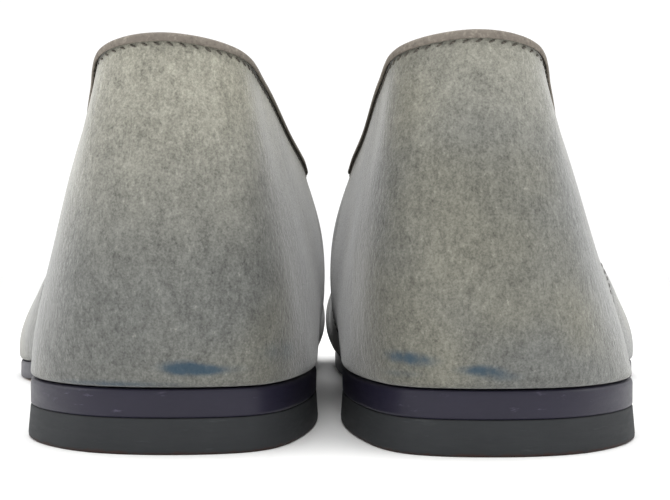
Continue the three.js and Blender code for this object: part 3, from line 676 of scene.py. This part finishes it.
# ---- Quarter --------------------------------------------------------------------------
# The back half of the upper: one piece of grey suede round the heel with no back seam,
# turned in under the insole along its lower edge and sewn to the vamp at both sides.
CORNER_ROUND = 1.7      # where the suede turns in over the insole's edge
SPEED = 66              # millimetres along a rib to each unit of `up`, near its foot
COLLAPSE_HEIGHT = 0.16
COLLAPSE = (            # worn inner collar: station, height and half width on the rib, depth
    (-4.35, 0.68, 0.22, -0.9),
    (-4.75, 0.64, 0.25, 0.5),
)


def lasted(shoe, around, up):
    """Points and fronts of a panel that turns in under the insole along its first row."""
    last = shoe.last
    foot_line = around[0]
    corner = last.point(foot_line, 0)
    inward = -unit(last.normal(foot_line, 0)[..., :2])

    def margin(reach):
        flat = corner[..., :2] + inward * reach
        return np.concatenate([flat, feather_level(flat[..., 1:])], -1)

    start = margin(CORNER_ROUND)
    end = last.point(around[0], CORNER_ROUND / SPEED)
    bends = np.linspace(0, 1, 7)[1:]
    turn = [start * (1 - t) ** 2 + corner * 2 * t * (1 - t) + end * t**2 for t in bends]
    under = [margin(reach) for reach in (LASTING_MARGIN, LASTING_MARGIN / 2, CORNER_ROUND)]
    level = CORNER_ROUND / SPEED + up[1:] * (1 - CORNER_ROUND / SPEED)
    normal = last.normal(around[1:], level)
    wall = last.point(around[1:], level) + normal * dents(around[1:], level)[..., None]
    down = np.broadcast_to((0, 0, -1.0), corner.shape)
    outward = -np.concatenate([inward, 0 * inward[..., :1]], -1)
    fronts = [down] * 3 + [unit(down * (1 - t) + outward * t) for t in bends]
    return np.concatenate([under + turn, wall]), np.concatenate([fronts, normal])


def dents(around, up):
    """Millimetres by which wear has pushed soft suede out or in. It is nil at the edges."""
    waves = 0.22 * np.sin(2.3 * around + 4 * up) * np.sin(6.1 * up - 1.3 * around)
    waves += 0.12 * np.sin(5.2 * around - 3 * up + 1) * np.sin(11 * up + 2)
    for station, height, half_width, depth in COLLAPSE:
        across, along = (around - station) / half_width, (up - height) / COLLAPSE_HEIGHT
        waves = waves + depth * np.exp(-(across**2) - along**2)
    return waves * ease(up / 0.12) * ease((0.97 - up) / 0.1)


STAINS = (  # centre and radii in millimetres on the pair, and strength
    ((-28, -145, 16.4), (7, 14, 2.1), 0.85),
    ((-25, -145, 15.7), (7.5, 14, 1.9), 0.85),
    ((-20, -143, 15.8), (8, 16, 1.6), 0.35),
    ((-6, -138, 18.6), (12, 20, 4.2), 0.5),
    ((-42, -143, 12.8), (24, 20, 1.6), 0.6),
    ((11.5, -148, 18.4), (7, 16, 2.2), 0.7),
    ((15, -148, 17.6), (7.5, 16, 2.2), 0.75),
    ((12, -147, 15), (8, 16, 1.5), 0.5),
    ((27, -148, 16), (7, 16, 1.7), 0.85),
    ((31, -147, 14.8), (7, 16, 1.6), 0.4),
)


def suede_finish(low, high, stained):
    """Grey suede: short nap brushed down and round, cloudy where it has been handled. Its
    colour runs from `low` near the sole to `high` at the top, paler and warmer above and
    darker and cooler below: painted light from overhead and painted shade near the floor.
    The right shoe is kept darker in its upper part, and the inner sides are given painted
    shade where the two shoes shade each other."""
    suede = Finish("grey_suede" if stained else "strap_suede")
    clouds = suede.noise(38, 3, 0.5, stretch=(1, 1, 0.7))
    olive = suede.noise(24, 2, 0.5)
    brushed = suede.noise(330, 3, 0.6, stretch=(1, 1, 0.6))
    fibres = suede.noise(1050, 3, 0.7, stretch=(1, 1, 0.7))
    nap = suede.noise(2400, 2, 0.7)
    height = suede.axis("Z") / MM
    side = suede.node("ShaderNodeMath", {"operation": "ABSOLUTE"}, {0: suede.axis("X")})
    right = suede.span(suede.axis("X") / MM, -4, 4)
    # Painted light and shade: paler towards the top as if lit from overhead, darker near the floor; the
    # right shoe is kept darker higher up.
    colour = suede.blend(suede.span(height + 24 * clouds - 20 * right, 40, 98), low, high)
    colour = suede.tinge(colour, olive, 0.46, 0.7, 0.3, shade(133, 129, 108))
    # Painted shade on the inner sides, where the two shoes shade each other.
    colour = suede.tinge(colour, side / MM, 22, 3, 0.4, shade(74, 74, 71))
    weave = 0.5 * clouds + 0.7 * brushed + 1.3 * fibres + 1.3 * nap - 0.9
    colour = suede.blend(1.0, colour, weave, "MULTIPLY")
    colour = suede.tinge(colour, fibres, 0.64, 0.8, 0.4, shade(176, 174, 164))
    if stained:
        stain = 0
        for centre, radii, strength in STAINS:
            stain = suede.patch(centre, radii) * strength + stain
        stain = suede.span(stain * (0.2 + 1.6 * brushed), 0.0, 1.0)
        colour = suede.blend(stain * 0.8, colour, shade(40, 66, 84))
    relief = 0.3 * brushed + 0.5 * fibres + 0.2 * nap
    return suede.done(colour, 0.86 + 0.12 * fibres, relief, 0.4, Sheen_Weight=0.55,
                      Sheen_Roughness=0.4, Specular_IOR_Level=0.1)


# The suede's colours near the sole and at the top, which differ by painted shade below and painted light
# above.
grey_suede = suede_finish(shade(103, 104, 101), shade(156, 154, 141), True)
for shoe in pair:
    last = shoe.last
    levels = np.linspace(0, 1, 111)[:, None]
    columns = np.linspace(-1, 1, 261)[None, :]
    around = columns * (seam_at(levels) - SEAM_GAP)
    above = between(PLUG_EDGE, up_top(last, around), (levels - PLUG_EDGE) / (1 - PLUG_EDGE))
    points, fronts = lasted(shoe, around, np.where(levels > PLUG_EDGE, above, levels))
    quarter = thicken(weld("heel_quarter", points, shoe, fronts, materials=[grey_suede]), SUEDE)
    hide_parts(f"{shoe.name}_quarter")


# ---- Vamp and plug --------------------------------------------------------------------
# The moccasin front: a vamp that comes up round the foot, and a plug laid over the toes.
# Their edges are pinched up and sewn through by hand, which leaves a ridge.
RIDGE_RISE, RIDGE_HALF_WIDTH = 1.3, 1.7
CREASES = ((186, 0.5, 0.05), (197, 0.7, -0.04), (207, 0.4, 0.08))    # q, depth, slant
CREASE_HALF_WIDTH = 2.6
SEAM_BLEND = 2.2        # stations over which the vamp's columns lean along the side seam


def pinch(around, up):
    """The height of the moccasin ridge, in millimetres."""
    away = (up - plug_edge(around)) * RIB_LENGTH
    ridge = RIDGE_RISE * np.exp(-((away / RIDGE_HALF_WIDTH) ** 2))
    return ridge * ease((np.abs(around) - SEAM_TOP) / 0.3)


def creases(points):
    """Shallow folds across the forepart, where the foot bends."""
    p, q = points[..., 0], points[..., 1]
    fold = 0
    for place, depth, slant in CREASES:
        away = (q - place - slant * (p - 50)) / CREASE_HALF_WIDTH
        fold = fold - depth * np.exp(-(away**2)) + 0.5 * depth * np.exp(-((away - 1.7) ** 2))
    return fold


for shoe in pair:
    last = shoe.last
    raw = between(SEAM_TOP, 2 * TOE - SEAM_TOP, np.linspace(0, 1, 301))[None, :]
    share = np.linspace(0, 1, 81)[:, None]
    up = share * (plug_edge(wrapped(raw)) - PLUG_GAP)
    from_seam = np.minimum(raw, 2 * TOE - raw) - SEAM_TOP
    shift = (SEAM_TOP - seam_at(up)) * (1 - ease(from_seam / SEAM_BLEND))
    shift = shift - SEAM_GAP * (1 - ease(from_seam))
    around = wrapped(np.where(raw < TOE, raw - shift, raw + shift))
    points, fronts = lasted(shoe, around, up)
    wall = slice(len(points) - len(up) + 1, None)
    lift = pinch(around[1:], up[1:]) + creases(points[wall]) * ease(up[1:] / 0.3)
    points[wall] += fronts[wall] * lift[..., None]
    vamp = thicken(weld("moccasin_vamp", points, shoe, fronts, materials=[grey_suede]), SUEDE)
    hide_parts(f"{shoe.name}_vamp")

    around, up, skip = forepart(last, 181, 56, lambda steps: plug_edge(steps) + PLUG_GAP,
                                SEAM_TOP + SEAM_GAP)
    folds = creases(last.point(around, up)) * ease((up - plug_edge(around)) / 0.08)
    plug = layer(shoe, "apron_plug", around, up, -pinch(around, up) - folds, SUEDE, [grey_suede], skip)
    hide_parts(f"{shoe.name}_plug")


# ---- Moccasin and side-seam stitches --------------------------------------------------
# Waxed thread, a shade darker than the suede: long hand stitches over the moccasin ridge,
# and two rows of machine stitches down each side seam.
def thread_finish(name, dark, light):
    """Twisted thread: plies that wind round it, and a waxy sheen."""
    thread = Finish(name)
    plies = thread.node("ShaderNodeTexWave", {"bands_direction": "DIAGONAL"},
                        {"Vector": thread.place, "Scale": 700.0, "Distortion": 1.0})
    colour = thread.blend(plies, dark, light)
    return thread.done(colour, 0.55 + 0.2 * plies, plies, 0.1)


def stitches(shoe, name, rows, size, material):
    """Rows of stitches as one piece. Each row holds centres, directions and fronts, and
    `size` is length, width and height in millimetres."""
    centres, along, out = (np.concatenate(part) for part in zip(*rows))
    bm = bmesh.new()
    for place, forward, upward in zip(shoe.place(centres), shoe.turn(along), shoe.turn(out)):
        forward, upward = Vector(forward).normalized(), Vector(upward)
        upward = (upward - forward * upward.dot(forward)).normalized()
        frame_of = Matrix((forward, upward.cross(forward), upward)).transposed().to_4x4()
        half = Matrix.Diagonal((*(Vector(size) * MM / 2), 1))
        shape = Matrix.Translation(place) @ frame_of @ half
        bmesh.ops.create_uvsphere(bm, u_segments=8, v_segments=6, radius=1, matrix=shape)
    piece = finished(name, bm, shoe, [material])
    return piece


def sewn(line, fronts, pitch, lift):
    """A row of stitches every `pitch` millimetres along a line of points, raised by `lift`:
    their centres, directions and fronts."""
    run = np.concatenate([[0], np.cumsum(np.linalg.norm(np.diff(line, axis=0), axis=-1))])
    places = np.linspace(0, run[-1], max(2, round(run[-1] / pitch)))
    index = np.interp(places, run, np.arange(len(line)))
    low = index.astype(int).clip(0, len(line) - 2)
    heights = np.broadcast_to(lift, len(line))[:, None]
    centres, along, out, height = (
        between(values[low], values[low + 1], (index - low)[:, None])
        for values in (line, np.gradient(line, axis=0), fronts, heights))
    return centres + out * height, along, out


waxed_thread = thread_finish("waxed_thread", shade(66, 64, 61), shade(94, 92, 87))
MOCCASIN_PITCH, MOCCASIN_STITCH, MOCCASIN_SUNK = 4.6, (5.2, 0.95, 1.3), 0.25
SEAM_PITCH, SEAM_STITCH, SEAM_ROWS = 2.4, (1.7, 0.5, 0.4), (-0.14, -0.26)
STITCH_LIFT = 0.05      # by which a machine stitch's middle stands proud of the suede
for shoe in pair:
    last = shoe.last
    around = wrapped(np.linspace(SEAM_TOP + 0.05, 2 * TOE - SEAM_TOP - 0.05, 500))
    edge = plug_edge(around)
    centres, along, out = sewn(last.point(around, edge), last.normal(around, edge),
                               MOCCASIN_PITCH, pinch(around, edge) - MOCCASIN_SUNK)
    row = (centres, np.cross(along, out), out)
    stitches(shoe, "moccasin_stitches", [row], MOCCASIN_STITCH, waxed_thread)

    rows = []
    for sign in (-1, 1):
        for offset in SEAM_ROWS:
            up = np.linspace(0.03, PLUG_EDGE - 0.02, 120)
            around = sign * (seam_at(up) + offset)
            rows.append(sewn(last.point(around, up), last.normal(around, up), SEAM_PITCH,
                             dents(around, up) + STITCH_LIFT))
    stitches(shoe, "side_stitches", rows, SEAM_STITCH, waxed_thread)


# ---- Saddle strap ---------------------------------------------------------------------
# A band of darker suede across the instep, with turned edges and a row of stitches along
# each. Its two ends are whipped down with thread at the moccasin seam.
STRAP = 1.6
UNDER_STRAP = 0.9
STRAP_END = 0.6
STRAP_WIDTH, STRAP_SETBACK, STRAP_BOW, STRAP_SPREAD = 22, 5, 11, 5
STRAP_ROWS, STRAP_PITCH, STRAP_STITCH = (0.12, 0.88), 2.5, (1.8, 0.5, 0.4)
WHIPS, WHIP, WHIP_LIFT, WHIP_SPAN = 15, (4.2, 0.8, 3.0), 1.2, (0.06, 0.94)


def strap_around(last, up, sign, share):
    """Stations at which rib height `up` meets an arc across the strap, in plan, by halving.
    `share` is 0 on the strap's rear edge and 1 on its front edge."""
    throat = last.top(THROAT)
    reach = last.point(THROAT, STRAP_END)[0] - throat[0]
    low, high = np.full(up.shape, THROAT - 2.0), np.full(up.shape, THROAT + 2.0)
    for _ in range(20):
        middle = (low + high) / 2
        place = last.point(sign * middle, up)
        bow = np.minimum(1, ((place[..., 0] - throat[0]) / reach) ** 2)
        rear = throat[1] + STRAP_SETBACK - STRAP_BOW * bow
        behind = place[..., 1] < rear + (STRAP_WIDTH + STRAP_SPREAD * bow) * share
        low, high = np.where(behind, middle, low), np.where(behind, high, middle)
    return sign * low


# The strap suede's colours low and high, which differ by painted shade below and painted light above.
strap_suede = suede_finish(shade(92, 91, 88), shade(116, 114, 107), False)
for shoe in pair:
    last = shoe.last
    share = np.linspace(0, 1, 31)[:, None]
    rising = np.linspace(STRAP_END, 1, 90)
    climb = np.concatenate([rising, rising[-2::-1]])[None, :]
    sign = np.where(np.arange(climb.size) < len(rising), -1, 1)[None, :]
    up = climb + 0 * share
    around = strap_around(last, up, sign, share)
    strap = layer(shoe, "instep_strap", around, up, -UNDER_STRAP - STRAP, STRAP, [strap_suede],
                  edge_round=0.5)
    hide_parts(f"{shoe.name}_saddle_strap")

    rows = []
    for row in STRAP_ROWS:
        up = climb[0]
        around = strap_around(last, up, sign[0], row)
        normal = last.normal(around, up)
        line = last.point(around, up) + normal * (UNDER_STRAP + STRAP)
        rows.append(sewn(line, normal, STRAP_PITCH, 0))
    stitches(shoe, "strap_stitches", rows, STRAP_STITCH, waxed_thread)

    rows = []
    for end in (-1, 1):
        up = np.full(WHIPS, STRAP_END + 0.015)
        around = strap_around(last, up, end, np.linspace(*WHIP_SPAN, WHIPS))
        place = last.point(around, up)
        normal = last.normal(around, up)
        rows.append((place + normal * WHIP_LIFT, last.point(around, up + 0.02) - place, normal))
    stitches(shoe, "strap_end_whipping", rows, WHIP, waxed_thread)


# ---- Topline binding ------------------------------------------------------------------
# A strip of thin taupe leather folded over the raw topline and sewn through, with a row
# of stitches just under it on the outside.
BINDING_DEPTH = 2.2
BINDING_CREST = 1.1
CUT_EDGE = 0.25         # by which the fold's two cut edges turn in towards the leather
TOPLINE_PITCH, TOPLINE_STITCH, TOPLINE_SLANT, TOPLINE_DEPTH = 2.45, (1.5, 0.45, 0.4), 0.45, 2.5
RIM_STEPS = (0, 0.4, 0.75, 0.9, 1.05, 1.4, 1.7, 2, 2.4, 2.85, 3.3, 4, 4.6, 5.1, 5.5, 5.85, 6.15,
             SEAM_TOP, 6.6, 6.75, 6.9, THROAT)


def binding_finish():
    """Folded leather: fine crushed grain across the fold, in paler and darker flecks."""
    hide = Finish("folded_binding")
    tone = hide.noise(60, 4, 0.6)
    crush = hide.noise(900, 4, 0.7)
    colour = hide.blend(tone, shade(108, 101, 94), shade(130, 123, 113))
    colour = hide.tinge(colour, crush, 0.5, 0.7, 0.6, shade(160, 153, 142))
    colour = hide.tinge(colour, crush, 0.48, 0.28, 0.6, shade(78, 72, 67))
    return hide.done(colour, 0.62 + 0.25 * crush, crush, 0.3, Specular_IOR_Level=0.2)


folded_binding = binding_finish()
topline_thread = thread_finish("topline_thread", shade(66, 62, 55), shade(94, 89, 80))
for shoe in pair:
    last = shoe.last
    coarse = np.array([-step for step in reversed(RIM_STEPS[1:])] + list(RIM_STEPS))
    ends = last.rib(coarse)
    front = last.normal(coarse, np.where(np.abs(coarse) == THROAT, 1, 0.985))
    square = unit(np.cross(front, last.topline_along(coarse)))
    square *= np.sign((square * (ends[:, 2] - ends[:, 3])).sum(-1))[:, None]
    fine = np.linspace(-THROAT, THROAT, 561)
    front = unit(np.stack([np.interp(fine, coarse, front[:, k]) for k in range(3)], -1))[:, None]
    square = unit(np.stack([np.interp(fine, coarse, square[:, k]) for k in range(3)], -1))[:, None]
    top = last.top(fine)[:, None]

    outer = -CLEARANCE - BINDING_WALL
    inner = UNDER_SUEDE + LINING + GLUE_LINE + BINDING_WALL
    middle = (outer + inner) / 2
    turn = np.linspace(0, math.pi, 13)
    over = middle - (inner - outer) / 2 * np.cos(turn)
    depth = np.concatenate([[outer + CUT_EDGE, outer], over, [inner, inner - CUT_EDGE]])
    leg = [BINDING_DEPTH, BINDING_DEPTH - 0.3]
    down = np.concatenate([leg, BINDING_CREST - BINDING_CREST * np.sin(turn), leg[::-1]])
    points = top - front * depth[None, :, None] + square * down[None, :, None]
    fold_middle = top - front * middle + square * 1.5
    binding = weld("folded_binding", points, shoe, points - fold_middle, materials=[folded_binding])
    thicken(binding, BINDING_WALL * 0.8, edge_round=0)
    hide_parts(f"{shoe.name}_topline_binding")

    around = np.linspace(0.05 - THROAT, THROAT - 0.05, 700)
    up = 1 - last.edge_share(around, TOPLINE_DEPTH)
    centres, along, out = sewn(last.point(around, up), last.normal(around, up),
                               TOPLINE_PITCH, STITCH_LIFT)
    row = (centres, along + TOPLINE_SLANT * np.cross(out, along), out)
    stitches(shoe, "topline_stitches", [row], TOPLINE_STITCH, topline_thread)


# ---- Outsole --------------------------------------------------------------------------
# A leather sole cemented under the lasted upper. Its edge is trimmed, dyed navy and
# burnished with hot wax, and its underside is left as plain leather, scuffed by wear.
def edge_finish():
    """Navy edge dressing: glossy wax, with nicks and rubs."""
    wax = Finish("navy_edge_wax")
    tone = wax.noise(45, 4, 0.65)
    nicks = wax.noise(330, 5, 0.75, stretch=(0.35, 0.35, 1.6))
    colour = wax.blend(tone, shade(18, 16, 31), shade(35, 32, 50))
    colour = wax.tinge(colour, nicks, 0.6, 0.74, 0.4, shade(104, 98, 118))
    return wax.done(colour, 0.34 + 0.3 * nicks, nicks, 0.1, Specular_IOR_Level=0.3, Coat_Weight=0.1,
                    Coat_Roughness=0.25)


def sole_leather_finish():
    """Tan sole leather, darkened and scored by walking, mostly along the shoe."""
    hide = Finish("worn_sole_leather")
    tone = hide.noise(26, 4, 0.6)
    scores = hide.noise(420, 4, 0.7, stretch=(1.6, 0.3, 1))
    grit = hide.noise(1500, 3, 0.7)
    colour = hide.blend(tone, shade(104, 80, 62), shade(150, 120, 92))
    colour = hide.tinge(colour, scores, 0.5, 0.7, 0.7, shade(70, 56, 48))
    return hide.done(colour, 0.55 + 0.3 * scores, 0.6 * scores + 0.4 * grit, 0.25)


SOLE_EDGE = ((-0.25, 0), (0, 0.05), (0.02, 0.12), (0.05, 0.5), (0.05, 0.84), (-0.02, 0.91),
             (-0.15, 0.96), (-0.4, 1))      # out in millimetres, share of the height
NAIL_DIAMETER, NAIL_COUNT, NAIL_INSET = 2.2, 5, 9
NAIL_RECESS, NAIL_GRIP, NAIL_REACH = 0.6, 3.8, 2.2
NAIL_TOP = LIFT_HEIGHT + NAIL_GRIP


def nail_spots(shoe):
    around = np.linspace(-1, 1, NAIL_COUNT) * NAIL_REACH
    foot, out = shoe.last.point(around, 0), shoe.last.normal(around, 0)
    return foot[:, :2] - out[:, :2] * NAIL_INSET


def drilled(piece, shoe, bottom, top):
    """Cuts the nail holes through a piece, and keeps the result as its mesh."""
    drill = bmesh.new()
    radius = (NAIL_DIAMETER / 2 + CLEARANCE) * MM
    for p, q in nail_spots(shoe):
        place = shoe.place(np.array([p, q, (bottom + top) / 2]))
        bmesh.ops.create_cone(drill, cap_ends=True, segments=24, radius1=radius, radius2=radius,
                              depth=(top - bottom) * MM, matrix=Matrix.Translation(place))
    cutter = bpy.data.objects.new("drill", bpy.data.meshes.new("drill"))
    drill.to_mesh(cutter.data)
    drill.free()
    scene.collection.objects.link(cutter)
    holes = piece.modifiers.new("nail_holes", "BOOLEAN")
    holes.operation, holes.solver, holes.object = "DIFFERENCE", "EXACT", cutter
    bpy.context.view_layer.update()
    evaluated = piece.evaluated_get(bpy.context.evaluated_depsgraph_get())
    cut = bpy.data.meshes.new_from_object(evaluated)
    piece.modifiers.clear()
    piece.data = cut
    bpy.data.objects.remove(cutter)


navy_edge, worn_sole = edge_finish(), sole_leather_finish()
for shoe in pair:
    sole = plate(shoe, "leather_sole", [navy_edge, worn_sole], SOLE_INSET, sole_bottom,
                 sole_top, profile=SOLE_EDGE, lines=220)
    drilled(sole, shoe, -1, NAIL_TOP + CLEARANCE)
    for face in sole.data.polygons:
        face.material_index = int(face.normal.z < -0.9)     # the underside is bare leather
    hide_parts(f"{shoe.name}_outsole")


# ---- Heel lift and nails --------------------------------------------------------------
# One lift of charcoal rubber, glued under the seat of the sole and held by five steel
# nails driven up from below. Its lower edge is worn and brown with dirt, and that brown
# band is partly painted contact shadow at the floor.
LIFT_FLARE = 0.5
LIFT_SEAM = 0.08        # the line of glue between the lift and the sole
LIFT_EDGE = ((-0.5, 0), (-0.1, 0.05), (0, 0.14), (0, 0.94), (-0.15, 1))
HEAD_ROUND = 0.25
NAIL_POINT = 0.3        # radius of a nail's point, as a share of its diameter


def rubber_finish():
    """Charcoal rubber: fine buffing lines, dust, and an uneven brown edge at the floor, which
    is worn dirt and partly painted contact shadow.
    """
    rubber = Finish("charcoal_rubber")
    tone = rubber.noise(70, 4, 0.6)
    buffed = rubber.noise(500, 3, 0.65, stretch=(0.3, 0.3, 2.2))
    torn = rubber.noise(260, 4, 0.75)
    height = rubber.axis("Z") / MM
    # Brown band along the bottom edge: worn, dirty rubber, and partly painted contact shadow where the
    # lift meets the floor.
    dirt_and_shadow = rubber.span(height + 2.2 * torn, 1.9, 1.2)
    colour = rubber.blend(tone, shade(38, 40, 42), shade(50, 52, 54))
    colour = rubber.tinge(colour, buffed, 0.6, 0.78, 0.3, shade(78, 80, 82))
    colour = rubber.blend(dirt_and_shadow * 0.75, colour, shade(58, 38, 32))
    relief = 0.6 * buffed + 0.4 * torn
    return rubber.done(colour, 0.6 + 0.3 * buffed, relief, 0.15, Specular_IOR_Level=0.25)


def breast_station(last):
    low, high = 2.0, 5.0
    for _ in range(20):
        middle = (low + high) / 2
        short = last.rib(middle)[0, 1] < HEEL_LENGTH
        low, high = (middle, high) if short else (low, middle)
    return low


charcoal_rubber = rubber_finish()
for shoe in pair:
    lift = plate(shoe, "rubber_lift", [charcoal_rubber], SOLE_INSET, lambda q: 0 * q,
                 lambda q: 0 * q + LIFT_HEIGHT - LIFT_SEAM, ends=(0, breast_station(shoe.last)),
                 flare=LIFT_FLARE, profile=LIFT_EDGE, lines=120)
    drilled(lift, shoe, -1, LIFT_HEIGHT + 1)
    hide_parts(f"{shoe.name}_heel_lift")

    for number, (p, q) in enumerate(nail_spots(shoe), start=1):
        bm = bmesh.new()
        middle = Matrix.Translation(shoe.place(np.array([p, q, (NAIL_RECESS + NAIL_TOP) / 2])))
        bmesh.ops.create_cone(bm, cap_ends=True, segments=20, radius1=NAIL_DIAMETER / 2 * MM,
                              radius2=NAIL_POINT * NAIL_DIAMETER * MM,
                              depth=(NAIL_TOP - NAIL_RECESS) * MM, matrix=middle)
        low = (NAIL_RECESS + 0.01) * MM
        head = [edge for edge in bm.edges if max(v.co.z for v in edge.verts) < low]
        bmesh.ops.bevel(bm, geom=head, offset=HEAD_ROUND * MM, offset_type="OFFSET",
                        affect="EDGES", segments=3, profile=0.5, material=-1)
        nail = finished(f"nail_{number}", bm, shoe, [plain_steel])
        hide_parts(f"{shoe.name}_heel_nail_{number}")


# ---- Heel pad and sock ----------------------------------------------------------------
# A latex foam pad with skived edges is glued to the insole board and cushions the heel.
# A full sock of smooth leather is glued over both.
SOCK = 1.0
HEEL_PAD = 2.5
SOCK_INSET = LINING_STACK + 2 * GLUE_LINE
PAD_FLOOR = SUEDE + INSOLE + 3 * CLEARANCE
PAD_END = 3.3           # station at which the pad ends
SOCK_RAMP = 25
SOCK_WEAR = (           # under heel and ball: centre and radii on the pair, in millimetres
    ((-33, -112, 20), (24, 34, 30)),
    ((-54, 40, 20), (34, 46, 30)),
    ((33, -112, 20), (24, 34, 30)),
    ((54, 40, 20), (34, 46, 30)),
)


def foam_finish():
    """Cream latex foam with small open cells."""
    foam = Finish("latex_foam")
    cells = foam.node("ShaderNodeTexVoronoi", None, {"Vector": foam.place, "Scale": 1300.0})
    colour = foam.blend(foam.span(cells, 0.1, 0.4), shade(178, 168, 146), shade(224, 216, 198))
    return foam.done(colour, 0.9 + 0.1 * cells, cells, 0.3)


def sock_finish():
    """Smooth leather, darkened where heel and ball have pressed it."""
    hide = Finish("sock_leather")
    tone = hide.noise(22, 4, 0.6)
    grain = hide.noise(1300, 3, 0.65)
    pressed = 0
    for centre, radii in SOCK_WEAR:
        pressed = hide.patch(centre, radii) + pressed
    colour = hide.blend(tone, shade(158, 136, 110), shade(182, 162, 136))
    colour = hide.tinge(colour, pressed * (0.6 + tone), 0.1, 1.0, 0.6, shade(108, 88, 70))
    return hide.done(colour, 0.58 - 0.14 * tone, grain, 0.1)


latex_foam, sock_leather = foam_finish(), sock_finish()
on_insole = raised(insole_top, CLEARANCE)


def sock_under(q):
    """The underside of the sock, which ramps down off the front of the pad."""
    return on_insole(q) + (HEEL_PAD + CLEARANCE) * (1 - ease((q - pad_front) / SOCK_RAMP))


for shoe in pair:
    pad_front = max(shoe.last.rib(PAD_END)[0, 1], shoe.last.rib(-PAD_END)[0, 1])
    pad = plate(shoe, "foam_pad", [latex_foam], SOCK_INSET, on_insole, raised(on_insole, HEEL_PAD),
                ends=(0, PAD_END), levels=(PAD_FLOOR, PAD_FLOOR + HEEL_PAD),
                profile=((-1.4, 0), (-0.4, 0.15), (0, 0.5), (-0.4, 0.85), (-1.4, 1)), lines=90)
    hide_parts(f"{shoe.name}_heel_pad")
    sock = plate(shoe, "leather_sock", [sock_leather], SOCK_INSET, sock_under,
                 raised(sock_under, SOCK), across=17,
                 levels=(PAD_FLOOR, PAD_FLOOR + HEEL_PAD + CLEARANCE + SOCK))
    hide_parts(f"{shoe.name}_sock_liner")
